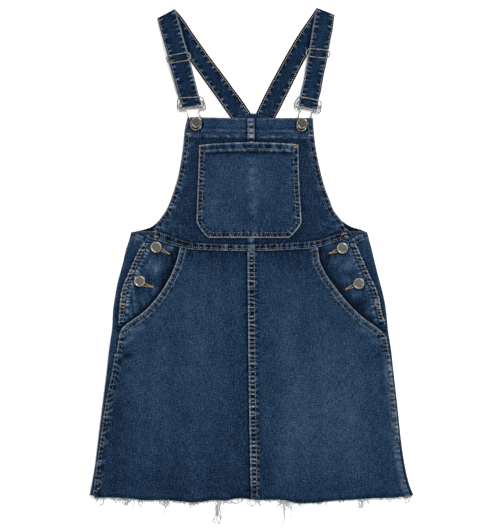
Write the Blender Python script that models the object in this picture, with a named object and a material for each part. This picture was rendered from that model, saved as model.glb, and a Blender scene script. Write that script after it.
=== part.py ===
"""Denim overall skirt, laid flat on its back with the front side up.

The garment lies on the plane z = 0: the back panel is flat on it, comes round
both sides in a soft fold, and the front pieces lie on top of the back.
+X runs across to the viewer's right, +Y runs up from the hem to the straps,
+Z is up, out of the front of the garment. Left and right are the viewer's.

Every cloth piece is a wall of even thickness, worked out on a grid from the
sewing sizes below. Neighbouring pieces keep a small gap along their seam, and
a strip or patch that lies on a panel is made from that panel's own height,
moved out. All sizes here are in millimetres; the meshes are in metres.
"""

import math
from collections import namedtuple

import bmesh
import bpy
from mathutils import Vector

MM = 0.001

# ---------------------------------------------------------------- sizes (mm)
CLOTH = 1.2            # denim wall
STRIP = 1.0            # folded edge that laps over a seam
STRAP = 1.8            # strap, two layers turned and sewn together
GAP = 0.3              # between neighbouring pieces
LIE = 0.4              # between a panel and what lies on it
HEM_Y = -350.0         # nominal height of the raw hem
BACK_HEM_Y = -343.5    # the back's own raw edge, just inside the front's
CORNER_Y = 51.5        # top corners of the back panel at the sides
POCKET_REACH = 26.0    # how far the hip yoke goes on under the skirt front
STEP_UP = CLOTH + 2 * GAP   # lift of the skirt front over the hip yoke
BUTTON_R = 8.5         # 17 mm tack buttons
WIRE_R = 0.95          # bent wire of sliders and hooks

# ------------------------------------------------------------ shape tables
# The flat tube of the skirt, hem to side corners. fold is the height of the
# turned side; seam_left / seam_right are where the back ends on the front
# (above y = -98 that is the hidden edge of the button stand).
Body = namedtuple("Body", "y left right fold seam_left seam_right")
BODY = (
    Body(-350.0, -243.5, 245.1, 4.5, -236.5, 241.8),
    Body(-343.5, -242.0, 243.5, 4.5, -235.5, 240.3),
    Body(-327.0, -238.8, 237.2, 4.5, -233.0, 233.9),
    Body(-300.0, -234.0, 230.9, 4.5, -230.0, 227.7),
    Body(-263.0, -229.5, 225.2, 4.5, -224.5, 222.0),
    Body(-227.0, -225.0, 221.4, 4.5, -219.5, 218.2),
    Body(-191.0, -220.5, 217.5, 4.5, -213.5, 214.3),
    Body(-155.0, -216.0, 213.4, 4.5, -206.0, 210.2),
    Body(-128.0, -213.1, 210.5, 4.5, -202.0, 207.1),
    Body(-107.0, -210.2, 207.3, 3.6, -198.5, 203.6),
    Body(-98.0, -208.8, 205.9, 3.0, -182.0, 186.0),
    Body(-88.0, -207.8, 204.8, 3.0, -180.0, 182.6),
    Body(-65.5, -206.7, 202.6, 3.0, -178.0, 175.0),
    Body(-47.5, -204.0, 199.4, 3.0, -176.0, 172.0),
    Body(-29.5, -201.0, 195.0, 3.0, -171.5, 165.5),
    Body(-11.5, -196.5, 190.1, 3.0, -164.0, 157.5),
    Body(6.5, -191.6, 185.7, 3.0, -156.5, 149.5),
    Body(24.5, -187.5, 181.4, 3.0, -148.0, 142.0),
    Body(38.0, -183.0, 177.8, 3.0, -139.0, 135.0),
    Body(CORNER_Y, -179.3, 174.2, 3.0, -134.0, 131.0),
)

# The front's outer edge: bib armholes running on into the plackets.
Edge = namedtuple("Edge", "y left right")
FRONT_EDGE = (
    Edge(-102.0, -201.0, 204.8),
    Edge(-88.0, -199.5, 202.5),
    Edge(-65.5, -197.9, 195.6),
    Edge(-45.0, -196.0, 192.0),
    Edge(-28.0, -191.6, 185.5),
    Edge(-10.0, -184.1, 176.5),
    Edge(12.0, -174.5, 167.0),
    Edge(32.0, -163.5, 158.0),
    Edge(43.5, -154.5, 151.6),
    Edge(51.0, -149.0, 146.8),
    Edge(59.0, -143.3, 140.7),
    Edge(70.0, -137.8, 135.5),
    Edge(88.0, -126.9, 123.9),
    Edge(106.0, -119.6, 117.2),
    Edge(124.0, -113.6, 110.6),
    Edge(142.0, -108.5, 105.5),
    Edge(178.0, -102.2, 97.6),
    Edge(205.0, -99.1, 94.1),
    Edge(223.5, -94.5, 92.8),
)

# The hip pocket openings: the skirt front's free edge on each side, which
# runs into the side seam at the bottom.
OPENING = (
    Edge(-350.0, -235.4, 240.7),
    Edge(-343.5, -234.5, 239.2),
    Edge(-327.0, -232.3, 233.1),
    Edge(-300.0, -229.4, 227.0),
    Edge(-263.0, -224.2, 221.7),
    Edge(-227.0, -219.2, 217.9),
    Edge(-191.0, -213.2, 214.0),
    Edge(-155.0, -205.7, 209.9),
    Edge(-128.0, -201.7, 206.8),
    Edge(-107.0, -198.2, 203.0),
    Edge(-97.5, -196.0, 195.6),
    Edge(-88.0, -188.0, 183.4),
    Edge(-78.5, -174.5, 169.8),
    Edge(-67.5, -160.0, 157.6),
    Edge(-52.0, -145.0, 142.6),
    Edge(-32.0, -130.5, 126.6),
    Edge(-11.0, -119.0, 112.0),
    Edge(9.5, -111.0, 102.6),
    Edge(30.0, -106.0, 100.2),
)

# The waist seam lies in a shallow curve; low and high are its two edges.
Waist = namedtuple("Waist", "x low high")
WAIST = (
    Waist(-155.0, 42.0, 56.5),
    Waist(-141.0, 38.5, 53.5),
    Waist(-121.0, 32.5, 46.5),
    Waist(-106.0, 28.5, 41.0),
    Waist(-85.0, 25.0, 36.0),
    Waist(-6.0, 23.0, 33.0),
    Waist(80.0, 26.0, 37.0),
    Waist(105.0, 29.5, 41.0),
    Waist(118.0, 33.5, 45.5),
    Waist(138.0, 40.0, 52.0),
    Waist(152.0, 44.5, 56.5),
)

# The back bib narrows to the crossing of the straps.
BACK_BIB = (
    Edge(CORNER_Y + GAP, -176.0, 172.0),
    Edge(54.5, -162.8, 165.8),
    Edge(59.0, -149.6, 150.8),
    Edge(66.5, -140.2, 138.6),
    Edge(75.5, -129.0, 128.0),
    Edge(93.5, -112.0, 108.0),
    Edge(120.5, -93.0, 92.0),
    Edge(155.0, -72.0, 74.0),
    Edge(180.0, -56.0, 60.0),
    Edge(193.0, -48.0, 53.0),
    Edge(206.0, -39.5, 45.0),
    Edge(218.0, -29.5, 36.0),
    Edge(225.0, -20.0, 26.5),
    Edge(229.0, -9.5, 17.0),
)

# The bib pocket: straight sides, cut corners at the bottom.
POCKET = (
    Edge(42.6, -64.0, 57.5),
    Edge(49.0, -70.5, 64.0),
    Edge(58.0, -77.5, 71.5),
    Edge(66.0, -81.5, 75.5),
    Edge(90.0, -81.0, 74.3),
    Edge(125.0, -79.7, 72.3),
    Edge(152.0, -78.4, 71.5),
    Edge(168.0, -78.0, 71.3),
    Edge(181.5, -77.8, 71.0),
)

# Centre line of the front seams: straight in the bib, drifting in the skirt.
Centre = namedtuple("Centre", "y x half")
CENTRE = (
    Centre(-351.0, 5.0, 5.2),
    Centre(-155.0, 1.8, 5.4),
    Centre(23.0, 0.4, 5.6),
    Centre(60.0, 0.3, 5.8),
    Centre(223.0, 0.2, 5.8),
)

# The cut edge wanders a little; reach is how far its threads hang below it.
Hem = namedtuple("Hem", "x y reach")
HEM = (
    Hem(-242.5, -347.0, 6.0),
    Hem(-224.0, -346.8, 9.0),
    Hem(-186.0, -347.6, 14.0),
    Hem(-160.0, -351.0, 11.0),
    Hem(-131.0, -351.0, 20.0),
    Hem(-118.0, -351.5, 9.0),
    Hem(-89.0, -354.2, 11.0),
    Hem(-73.0, -353.4, 11.0),
    Hem(-60.0, -351.0, 12.0),
    Hem(-51.0, -351.0, 36.0),
    Hem(-42.0, -351.5, 12.0),
    Hem(-16.0, -348.0, 10.0),
    Hem(14.0, -350.5, 9.0),
    Hem(41.0, -350.2, 12.0),
    Hem(49.0, -350.9, 36.0),
    Hem(58.0, -352.6, 24.0),
    Hem(70.0, -355.4, 8.0),
    Hem(97.0, -355.0, 8.0),
    Hem(115.0, -352.4, 9.0),
    Hem(158.0, -349.8, 9.0),
    Hem(168.0, -348.5, 24.0),
    Hem(179.0, -348.0, 9.0),
    Hem(213.0, -347.0, 8.0),
    Hem(242.5, -344.0, 10.0),
)

# Straps: a is the outer edge, b the inner one, z the middle of the wall.
# From the end sewn under the back bib, up the back, over the shoulder fold,
# down through the slider and round the pin of the buckle, and back up behind.
Station = namedtuple("Station", "ax ay bx by z")
STRAP_LEFT_BACK = (
    Station(-22.0, 212.0, 3.6, 223.5, 0.9),
    Station(-37.0, 231.5, -12.6, 248.0, 0.9),
    Station(-49.5, 249.5, -25.1, 264.5, 0.9),
    Station(-62.5, 267.5, -37.6, 282.0, 0.9),
    Station(-88.0, 303.5, -62.6, 315.0, 0.9),
    Station(-111.0, 336.0, -88.1, 351.0, 0.9),
    Station(-131.0, 362.0, -103.1, 373.0, 0.9),
)
STRAP_LEFT_FOLD = Station(-140.0, 370.0, -113.0, 384.3, 1.95)
STRAP_LEFT_FRONT = (
    Station(-136.3, 355.0, -106.6, 363.5, 3.0),
    Station(-133.4, 345.0, -103.7, 352.5, 3.3),
    Station(-129.4, 330.0, -99.5, 337.5, 4.9),
    Station(-127.0, 322.0, -97.1, 329.5, 5.1),
    Station(-121.0, 300.0, -91.1, 307.5, 5.1),
    Station(-117.6, 288.0, -87.8, 295.0, 4.2),
    Station(-114.0, 275.0, -84.3, 281.0, 3.1),
    Station(-110.4, 262.0, -81.0, 267.5, 3.4),
    Station(-106.6, 252.0, -78.0, 256.0, 4.6),
    Station(-105.0, 246.5, -75.8, 250.0, 5.25),
)
STRAP_LEFT_TAIL = (
    Station(-105.5, 247.5, -77.0, 251.0, 0.9),
    Station(-107.6, 252.5, -80.2, 257.0, 0.9),
    Station(-111.4, 262.0, -83.6, 267.5, 0.9),
    Station(-114.6, 274.0, -86.8, 280.0, 0.9),
    Station(-117.8, 286.0, -90.2, 292.5, 2.4),
    Station(-120.2, 295.0, -92.6, 302.0, 3.0),
    Station(-124.4, 311.0, -96.6, 318.0, 3.0),
)
STRAP_RIGHT_BACK = (
    Station(28.5, 209.0, 5.2, 224.0, 0.9),
    Station(41.6, 231.5, 15.0, 245.5, 0.9),
    Station(50.6, 249.5, 24.0, 263.5, 0.9),
    Station(59.6, 267.5, 33.2, 281.0, 0.9),
    Station(77.6, 303.5, 52.4, 316.0, 0.9),
    Station(94.6, 334.0, 71.0, 347.5, 0.9),
    Station(112.6, 363.0, 88.0, 372.0, 0.9),
)
STRAP_RIGHT_FOLD = Station(125.2, 375.0, 97.5, 386.0, 1.95)
STRAP_RIGHT_FRONT = (
    Station(122.6, 355.0, 93.2, 362.0, 3.0),
    Station(120.6, 345.0, 91.2, 350.5, 3.3),
    Station(118.2, 333.0, 89.4, 337.8, 4.9),
    Station(117.0, 326.0, 88.2, 330.8, 5.1),
    Station(112.8, 303.0, 84.0, 307.8, 5.1),
    Station(109.6, 289.0, 81.4, 293.8, 4.0),
    Station(107.0, 276.0, 79.2, 280.8, 3.1),
    Station(104.6, 262.0, 76.0, 267.2, 3.4),
    Station(101.6, 250.5, 73.6, 256.0, 4.6),
    Station(100.6, 243.5, 72.4, 249.2, 5.25),
)
STRAP_RIGHT_TAIL = (
    Station(101.0, 245.0, 73.4, 250.4, 0.9),
    Station(102.2, 251.0, 75.4, 256.5, 0.9),
    Station(105.4, 262.0, 77.4, 267.2, 0.9),
    Station(107.8, 276.0, 79.8, 281.0, 0.9),
    Station(110.2, 290.0, 82.0, 295.0, 2.4),
    Station(112.6, 300.0, 84.0, 305.0, 3.0),
    Station(114.8, 313.0, 86.4, 318.0, 3.0),
)
PIN_R = 1.0
TURN_R = PIN_R + GAP + STRAP / 2   # middle of the strap's wall round the pin
PIN_Z = 0.9 + TURN_R

# Hardware outlines on each side, as the corners of bent wire.
Corner = namedtuple("Corner", "x y z r")

SLIDER_LEFT = (
    Corner(-119.0, 316.2, 7.4, WIRE_R),
    Corner(-100.0, 319.6, 7.4, WIRE_R),
    Corner(-93.5, 319.2, 7.15, WIRE_R),
    Corner(-90.6, 314.6, 6.3, WIRE_R),
    Corner(-93.0, 309.8, 7.15, WIRE_R),
    Corner(-99.0, 307.9, 7.4, WIRE_R),
    Corner(-117.5, 304.8, 7.4, WIRE_R),
    Corner(-123.6, 305.2, 7.15, WIRE_R),
    Corner(-126.6, 309.6, 6.3, WIRE_R),
    Corner(-125.0, 314.2, 7.15, WIRE_R),
)
SLIDER_RIGHT = (
    Corner(90.5, 325.8, 7.4, WIRE_R),
    Corner(110.5, 324.2, 7.4, WIRE_R),
    Corner(116.2, 322.8, 7.15, WIRE_R),
    Corner(118.4, 318.2, 6.3, WIRE_R),
    Corner(115.8, 313.2, 7.15, WIRE_R),
    Corner(109.8, 312.0, 7.4, WIRE_R),
    Corner(90.2, 314.0, 7.4, WIRE_R),
    Corner(84.4, 315.8, 7.15, WIRE_R),
    Corner(82.4, 320.6, 6.3, WIRE_R),
    Corner(85.0, 324.8, 7.15, WIRE_R),
)
BAR_R = 1.9
LINK_LEFT = (
    Corner(-106.0, 236.4, 3.2, BAR_R),
    Corner(-88.0, 237.6, 3.2, BAR_R),
    Corner(-72.0, 238.6, 3.2, BAR_R),
    Corner(-71.2, 241.6, PIN_Z, PIN_R),
    Corner(-72.8, 247.1, PIN_Z, PIN_R),
    Corner(-90.0, 245.2, PIN_Z, PIN_R),
    Corner(-106.8, 243.4, PIN_Z, PIN_R),
    Corner(-107.9, 239.6, PIN_Z, PIN_R),
)
LINK_RIGHT = (
    Corner(69.3, 238.6, 3.2, BAR_R),
    Corner(85.0, 235.8, 3.2, BAR_R),
    Corner(98.0, 233.6, 3.2, BAR_R),
    Corner(101.6, 235.6, PIN_Z, PIN_R),
    Corner(102.9, 240.1, PIN_Z, PIN_R),
    Corner(86.5, 243.6, PIN_Z, PIN_R),
    Corner(70.6, 246.4, PIN_Z, PIN_R),
    Corner(68.7, 242.4, PIN_Z, PIN_R),
)
HOOK_LEFT = (
    Corner(-107.6, 251.8, 8.0, WIRE_R),
    Corner(-91.0, 252.8, 8.0, WIRE_R),
    Corner(-75.4, 253.8, 8.0, WIRE_R),
    Corner(-72.4, 251.4, 7.2, WIRE_R),
    Corner(-69.2, 243.0, 5.2, WIRE_R),
    Corner(-67.9, 237.4, 4.0, WIRE_R),
    Corner(-70.0, 234.4, 3.6, WIRE_R),
    Corner(-76.4, 234.0, 3.6, WIRE_R),
    Corner(-78.4, 231.2, 3.8, WIRE_R),
    Corner(-76.4, 225.4, 4.2, WIRE_R),
    Corner(-75.8, 220.0, 4.3, 1.05),
    Corner(-74.0, 213.6, 4.3, 1.05),
    Corner(-76.6, 206.8, 4.3, 1.05),
    Corner(-82.6, 204.4, 4.3, 1.05),
    Corner(-88.6, 206.8, 4.3, 1.05),
    Corner(-91.4, 213.2, 4.3, 1.05),
    Corner(-92.0, 218.6, 4.3, 1.05),
    Corner(-94.6, 226.0, 4.2, WIRE_R),
    Corner(-96.0, 230.6, 3.8, WIRE_R),
    Corner(-99.6, 232.8, 3.6, WIRE_R),
    Corner(-106.4, 232.4, 3.6, WIRE_R),
    Corner(-109.8, 235.2, 4.0, WIRE_R),
    Corner(-110.6, 241.4, 5.2, WIRE_R),
    Corner(-110.0, 249.0, 7.2, WIRE_R),
)
HOOK_RIGHT = (
    Corner(73.2, 253.8, 8.0, WIRE_R),
    Corner(88.0, 251.2, 8.0, WIRE_R),
    Corner(101.8, 248.2, 8.0, WIRE_R),
    Corner(105.0, 245.2, 7.2, WIRE_R),
    Corner(104.9, 238.4, 5.2, WIRE_R),
    Corner(103.8, 231.6, 4.0, WIRE_R),
    Corner(100.4, 229.4, 3.6, WIRE_R),
    Corner(93.6, 230.9, 3.6, WIRE_R),
    Corner(90.4, 229.2, 3.8, WIRE_R),
    Corner(90.2, 223.8, 4.2, WIRE_R),
    Corner(86.6, 218.6, 4.3, 1.05),
    Corner(84.6, 212.0, 4.3, 1.05),
    Corner(81.4, 205.2, 4.3, 1.05),
    Corner(75.2, 202.6, 4.3, 1.05),
    Corner(69.6, 205.4, 4.3, 1.05),
    Corner(67.6, 211.6, 4.3, 1.05),
    Corner(69.6, 217.8, 4.3, 1.05),
    Corner(71.4, 224.0, 4.2, WIRE_R),
    Corner(71.8, 229.4, 3.8, WIRE_R),
    Corner(74.4, 233.6, 3.6, WIRE_R),
    Corner(68.6, 234.8, 3.6, WIRE_R),
    Corner(65.2, 238.6, 4.0, WIRE_R),
    Corner(65.8, 244.4, 5.2, WIRE_R),
    Corner(69.6, 251.6, 7.2, WIRE_R),
)

# Buttons: place, height of the cloth below them.
Button = namedtuple("Button", "name x y shank")
BIB_BUTTONS = (
    Button("bib_button_left", -82.0, 215.5, 2.3),
    Button("bib_button_right", 76.5, 214.0, 2.3),
)
SIDE_BUTTONS = (
    Button("side_button_left_upper", -142.5, 28.5, 1.0),
    Button("side_button_left_lower", -167.0, -22.5, 1.0),
    Button("side_button_right_upper", 137.0, 27.0, 1.0),
    Button("side_button_right_lower", 161.5, -26.0, 1.0),
)

# Where the grids have their rows, from the waist to the hem.
SKIRT_ROWS = (28, 18, 8, -6, -20, -34, -48, -58, -67, -75, -82, -89, -97.5,
              -107, -128, -155, -191, -227, -263, -300, -327, -344, -350)
HIP_ROWS = (42, 30, 18, 8, -6, -20, -34, -48, -58, -67, -75, -82, -89, -97.5)
BACK_ROWS = (CORNER_Y, 44, 30, 12, -6, -30, -60, -88, -98, -107, -116, -128,
             -155, -191, -227, -263, -300, -327, BACK_HEM_Y)


# ------------------------------------------------------------- small maths
def smooth(t):
    """0 below 0, 1 above 1, and a soft step between."""
    t = min(1.0, max(0.0, t))
    return t * t * (3.0 - 2.0 * t)


def mix(a, b, t):
    return a + (b - a) * t


def at(table, column, key):
    """A column of a table at any key, on a smooth curve with no overshoot."""
    keys = [row[0] for row in table]
    vals = [getattr(row, column) for row in table]
    n = len(keys)
    i = 0
    while i < n - 2 and key > keys[i + 1]:
        i += 1
    slopes = [(vals[k + 1] - vals[k]) / (keys[k + 1] - keys[k]) for k in range(n - 1)]
    if key < keys[0]:
        return vals[0]
    if key > keys[-1]:
        return vals[-1]

    def tangent(k):
        if k == 0:
            return slopes[0]
        if k == n - 1:
            return slopes[-1]
        a, b = slopes[k - 1], slopes[k]
        return 0.0 if a * b <= 0 else 2 * a * b / (a + b)

    h = keys[i + 1] - keys[i]
    t = (key - keys[i]) / h
    t2, t3 = t * t, t * t * t
    return (
        vals[i] * (2 * t3 - 3 * t2 + 1)
        + vals[i + 1] * (3 * t2 - 2 * t3)
        + h * tangent(i) * (t3 - 2 * t2 + t)
        + h * tangent(i + 1) * (t3 - t2)
    )


def waist_mid(x):
    return (at(WAIST, "low", x) + at(WAIST, "high", x)) / 2


# ------------------------------------------------------------ lay of cloth
def front_low(x, y):
    """Underside of the front's lowest layer: on the back in the middle,
    lifted over the turned sides and over the crossing of the straps."""
    yy = min(y, CORNER_Y)
    inside = min(x - at(BODY, "left", yy), at(BODY, "right", yy) - x)
    side = 1.8 * (1.0 - smooth((inside - 48.0) / 70.0))
    side *= 1.0 - smooth((y - 60.0) / 70.0)
    cross = 2.1 * smooth((y - 150.0) / 38.0) * (1.0 - smooth((abs(x - 3.0) - 50.0) / 20.0))
    return CLOTH + GAP + side + cross


def opening_lift(x, y):
    """Extra height of the skirt front where it lies over the hip yokes."""
    inside = min(x - at(OPENING, "left", y), at(OPENING, "right", y) - x)
    lift = STEP_UP * (1.0 - smooth((inside - 30.0) / 32.0))
    return lift * smooth((24.0 - y) / 15.0) * smooth((y + 128.0) / 26.0)


def hem_shift(x, y):
    """The wandering cut edge, fading out above the hem."""
    return (at(HEM, "y", x) - HEM_Y) * smooth((-y - 300.0) / 50.0)


# ------------------------------------------------------------ mesh building
def material(name, colour, rough, metal):
    mat = bpy.data.materials.new(name)
    mat.use_nodes = True
    bsdf = mat.node_tree.nodes["Principled BSDF"]
    bsdf.inputs["Base Color"].default_value = (*colour, 1.0)
    bsdf.inputs["Roughness"].default_value = rough
    bsdf.inputs["Metallic"].default_value = metal
    mat.diffuse_color = (*colour, 1.0)
    return mat


DENIM_DARK = (0.020, 0.045, 0.105)
DENIM_MID = (0.030, 0.062, 0.135)
DENIM_WORN = (0.060, 0.098, 0.175)
NICKEL = (0.50, 0.47, 0.43)
ENAMEL = (0.075, 0.066, 0.052)
FRAY = (0.62, 0.66, 0.70)


def add_object(name, verts, faces, colour, rough=0.85, metal=0.0, origin=(0, 0, 0), sharp=None):
    """One closed body with its faces outward, its origin at `origin`."""
    o = Vector(origin)
    mesh = bpy.data.meshes.new(name)
    bm = bmesh.new()
    made = [bm.verts.new((Vector(v) - o) * MM) for v in verts]
    for face in faces:
        bm.faces.new([made[i] for i in face])
    bm.normal_update()
    if bm.calc_volume(signed=True) < 0:
        bmesh.ops.reverse_faces(bm, faces=bm.faces[:])
    bm.to_mesh(mesh)
    bm.free()
    if sharp is not None:
        mesh.shade_smooth()
        mesh.set_sharp_from_angle(angle=math.radians(sharp))
    mesh.materials.append(material(name, colour, rough, metal))
    ob = bpy.data.objects.new(name, mesh)
    ob.location = o * MM
    bpy.context.scene.collection.objects.link(ob)
    ob.parent = GARMENT
    return ob


def shell(name, lower, upper, colour, rough=0.9, metal=0.0):
    """A wall between two grids of points that have the same rows."""
    rows, cols = len(lower), len(lower[0])
    verts = [p for row in lower for p in row] + [p for row in upper for p in row]
    n = rows * cols

    def lo(r, c):
        return r * cols + c

    def up(r, c):
        return n + r * cols + c

    faces = []
    for r in range(rows - 1):
        for c in range(cols - 1):
            faces.append((lo(r, c), lo(r, c + 1), lo(r + 1, c + 1), lo(r + 1, c)))
            faces.append((up(r, c), up(r + 1, c), up(r + 1, c + 1), up(r, c + 1)))
    for c in range(cols - 1):
        faces.append((lo(0, c + 1), lo(0, c), up(0, c), up(0, c + 1)))
        faces.append((lo(rows - 1, c), lo(rows - 1, c + 1), up(rows - 1, c + 1), up(rows - 1, c)))
    for r in range(rows - 1):
        faces.append((lo(r, 0), lo(r + 1, 0), up(r + 1, 0), up(r, 0)))
        faces.append((lo(r + 1, cols - 1), lo(r, cols - 1), up(r, cols - 1), up(r + 1, cols - 1)))
    return add_object(name, verts, faces, colour, rough, metal, sharp=40)


def panel(name, grid, thickness, colour):
    """A cloth piece from its underside: the wall stands straight up on it."""
    upper = [[(x, y, z + thickness) for x, y, z in row] for row in grid]
    return shell(name, grid, upper, colour)


def tube(name, path, sides, colour, closed=True, rough=0.3, metal=1.0):
    """Bent wire: rings of `sides` points round a path of (point, radius)."""
    count = len(path)
    verts, faces = [], []
    for i, (p, r) in enumerate(path):
        before = path[(i - 1) % count][0]
        after = path[(i + 1) % count][0]
        along = (after - before).normalized()
        across = Vector((0, 0, 1)).cross(along).normalized()
        over = along.cross(across).normalized()
        for k in range(sides):
            a = 2 * math.pi * (k + 0.5) / sides
            verts.append(p + across * (r * math.cos(a)) + over * (r * math.sin(a)))
    for i in range(count):
        j = (i + 1) % count
        for k in range(sides):
            m = (k + 1) % sides
            faces.append((i * sides + k, i * sides + m, j * sides + m, j * sides + k))
    return add_object(name, verts, faces, colour, rough, metal, sharp=70)


def wire_path(corners, per_corner):
    """A closed smooth path through the corners of a bent wire."""
    n = len(corners)
    out = []
    for i in range(n):
        p0, p1, p2, p3 = (corners[(i + k) % n] for k in (-1, 0, 1, 2))
        v0, v1, v2, v3 = (Vector((p.x, p.y, p.z)) for p in (p0, p1, p2, p3))
        steps = per_corner if (v2 - v1).length < 9.0 else per_corner + 1
        for s in range(steps):
            t = s / steps
            # tangents are limited by the shorter neighbour
            span = (v2 - v1).length
            m1 = (v2 - v0) / max((v2 - v0).length, 1e-6) * min(span, (v1 - v0).length) * 0.9
            m2 = (v3 - v1) / max((v3 - v1).length, 1e-6) * min(span, (v3 - v2).length) * 0.9
            t2, t3 = t * t, t * t * t
            p = (
                v1 * (2 * t3 - 3 * t2 + 1)
                + m1 * (t3 - 2 * t2 + t)
                + v2 * (3 * t2 - 2 * t3)
                + m2 * (t3 - t2)
            )
            out.append((p, mix(p1.r, p2.r, smooth(t))))
    return out


def turned(name, place, profile, sides, colour, rough, metal):
    """A button: a profile of (radius, height) turned about its own axis."""
    verts, faces = [(0, 0, profile[0][1])], []
    for r, z in profile:
        for k in range(sides):
            a = 2 * math.pi * k / sides
            verts.append((r * math.cos(a), r * math.sin(a), z))
    verts.append((0, 0, profile[-1][1]))
    last = len(verts) - 1
    for k in range(sides):
        m = (k + 1) % sides
        faces.append((0, 1 + m, 1 + k))
        for i in range(len(profile) - 1):
            a, b = 1 + i * sides, 1 + (i + 1) * sides
            faces.append((a + k, a + m, b + m, b + k))
        top = 1 + (len(profile) - 1) * sides
        faces.append((last, top + k, top + m))
    x, y, z = place
    verts = [(vx + x, vy + y, vz + z) for vx, vy, vz in verts]
    return add_object(name, verts, faces, colour, rough, metal, origin=place, sharp=35)


# ----------------------------------------------------------------- pieces
def back_skirt():
    """Back panel: flat underneath, turned up and over at both sides."""
    lower, upper = [], []
    for y in BACK_ROWS:
        left, right = at(BODY, "left", y), at(BODY, "right", y)
        top = at(BODY, "fold", y)
        r_out = top / 2
        r_in = r_out - CLOTH
        end_l, end_r = at(BODY, "seam_left", y), at(BODY, "seam_right", y)
        fall = 0.42 * smooth((y - 8.0) / (CORNER_Y - 8.0))
        outer, inner = [], []
        for t in (0.0, 0.5):
            x = mix(end_l, left + r_out, t)
            yy = y - fall * (x - left)
            outer.append((x, yy, top))
            inner.append((x, yy, top - CLOTH))
        for k in range(6):
            a = math.pi * (0.5 + k / 5)
            for pts, r in ((outer, r_out), (inner, r_in)):
                pts.append((left + r_out + r * math.cos(a), y, r_out + r * math.sin(a)))
        for k in range(1, 7):
            x = mix(left + r_out, right - r_out, k / 7)
            outer.append((x, y, 0.0))
            inner.append((x, y, CLOTH))
        for k in range(6):
            a = math.pi * (-0.5 + k / 5)
            for pts, r in ((outer, r_out), (inner, r_in)):
                pts.append((right - r_out + r * math.cos(a), y, r_out + r * math.sin(a)))
        for t in (0.5, 1.0):
            x = mix(right - r_out, end_r, t)
            yy = y - fall * (right - x)
            outer.append((x, yy, top))
            inner.append((x, yy, top - CLOTH))
        lower.append(outer)
        upper.append(inner)
    shell("back_skirt", lower, upper, DENIM_MID)


def back_bib():
    """Back bib, lifted near its top over the ends of the straps."""
    grid = []
    for row in BACK_BIB:
        z = (STRAP + GAP) * smooth((row.y - 182.0) / 22.0)
        grid.append([(mix(row.left, row.right, k / 6), row.y, z) for k in range(7)])
    panel("back_bib", grid, CLOTH, DENIM_DARK)


def bib_half(name, side):
    """One half of the bib, from the waist seam to the straight top edge."""
    rows = (0.0, 0.05, 0.11, 0.18, 0.26, 0.36, 0.47, 0.57, 0.65, 0.72, 0.79, 0.86, 0.93, 1.0)
    cols = (0.0, 0.12, 0.21, 0.295, 0.44, 0.60, 0.78, 1.0)
    grid = []
    for v in rows:
        y0 = mix(47.0, 222.5, v)
        edge = at(FRONT_EDGE, side, y0)
        seam = at(CENTRE, "x", y0) + (-GAP / 2 if side == "left" else GAP / 2)
        row = []
        for u in cols:
            x = mix(edge, seam, u)
            top = 222.0 + 1.5 * smooth(-x / 95.0) + 0.4 * smooth(x / 95.0)
            y = mix(waist_mid(x) + GAP / 2, top, v)
            row.append((x, y, front_low(x, y)))
        grid.append(row)
    panel(name, grid, CLOTH, DENIM_DARK)


def skirt_half(name, side):
    """One half of the skirt front, with the curved pocket opening."""
    cols = (0.0, 0.09, 0.21, 0.40, 0.62, 0.84, 1.0)
    grid = []
    for y0 in SKIRT_ROWS:
        edge = at(OPENING, side, y0)
        rise = (waist_mid(edge) - GAP / 2 - 28.0) * smooth((y0 + 6.0) / 34.0)
        edge = at(OPENING, side, y0 + rise + hem_shift(edge, y0))
        seam = at(CENTRE, "x", y0) + (-GAP / 2 if side == "left" else GAP / 2)
        row = []
        for u in cols:
            x = mix(edge, seam, u)
            y = y0 + (waist_mid(x) - GAP / 2 - 28.0) * smooth((y0 + 6.0) / 34.0)
            y += hem_shift(x, y0)
            row.append((x, y, front_low(x, y) + opening_lift(x, y0)))
        grid.append(row)
    panel(name, grid, CLOTH, DENIM_MID)


def hip_grid(side):
    """Rows of the hip yoke, from the placket edge to under the skirt front."""
    sign = -1.0 if side == "left" else 1.0
    grid = []
    for y0 in HIP_ROWS:
        edge = at(FRONT_EDGE, side, y0)
        reach = POCKET_REACH * smooth((8.0 - y0) / 26.0)
        drop = (waist_mid(sign * 106.0) - GAP / 2 - 42.0) * smooth((y0 - 2.0) / 40.0)
        inner = at(OPENING, side, min(y0 + drop, 30.0)) - sign * (reach - 1.2 * (1 - smooth(reach / 4.0)))
        row = []
        for u in (0.0, 0.33, 0.66, 0.90, 1.0):
            x = mix(edge, inner, u)
            y = y0 + (waist_mid(x) - GAP / 2 - 42.0) * smooth((y0 - 2.0) / 40.0)
            row.append((x, y, front_low(x, y)))
        grid.append(row)
    return grid


def strip_on(name, rows, lift, thickness, colour):
    """A narrow strip between two edges, lying `lift` above the front pieces."""
    grid = [[(x, y, front_low(x, y) + CLOTH + lift) for x, y in row] for row in rows]
    panel(name, grid, thickness, colour)


def centre_strip(name, levels):
    rows = []
    for y in levels:
        c, h = at(CENTRE, "x", y), at(CENTRE, "half", y)
        rows.append([(c - h, y + hem_shift(c, y)), (c, y + hem_shift(c, y)), (c + h, y + hem_shift(c, y))])
    strip_on(name, rows, LIE, STRIP, DENIM_WORN)


def waist_strip():
    rows = []
    for v in (0.0, 0.5, 1.0):
        row = []
        for k in range(17):
            u = k / 16
            x = mix(mix(-154.0, -145.5, v), mix(151.0, 144.5, v), u)
            row.append((x, mix(at(WAIST, "low", x), at(WAIST, "high", x), v)))
        rows.append(row)
    strip_on("waist_seam", rows, LIE + 0.1, CLOTH, DENIM_WORN)


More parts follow.
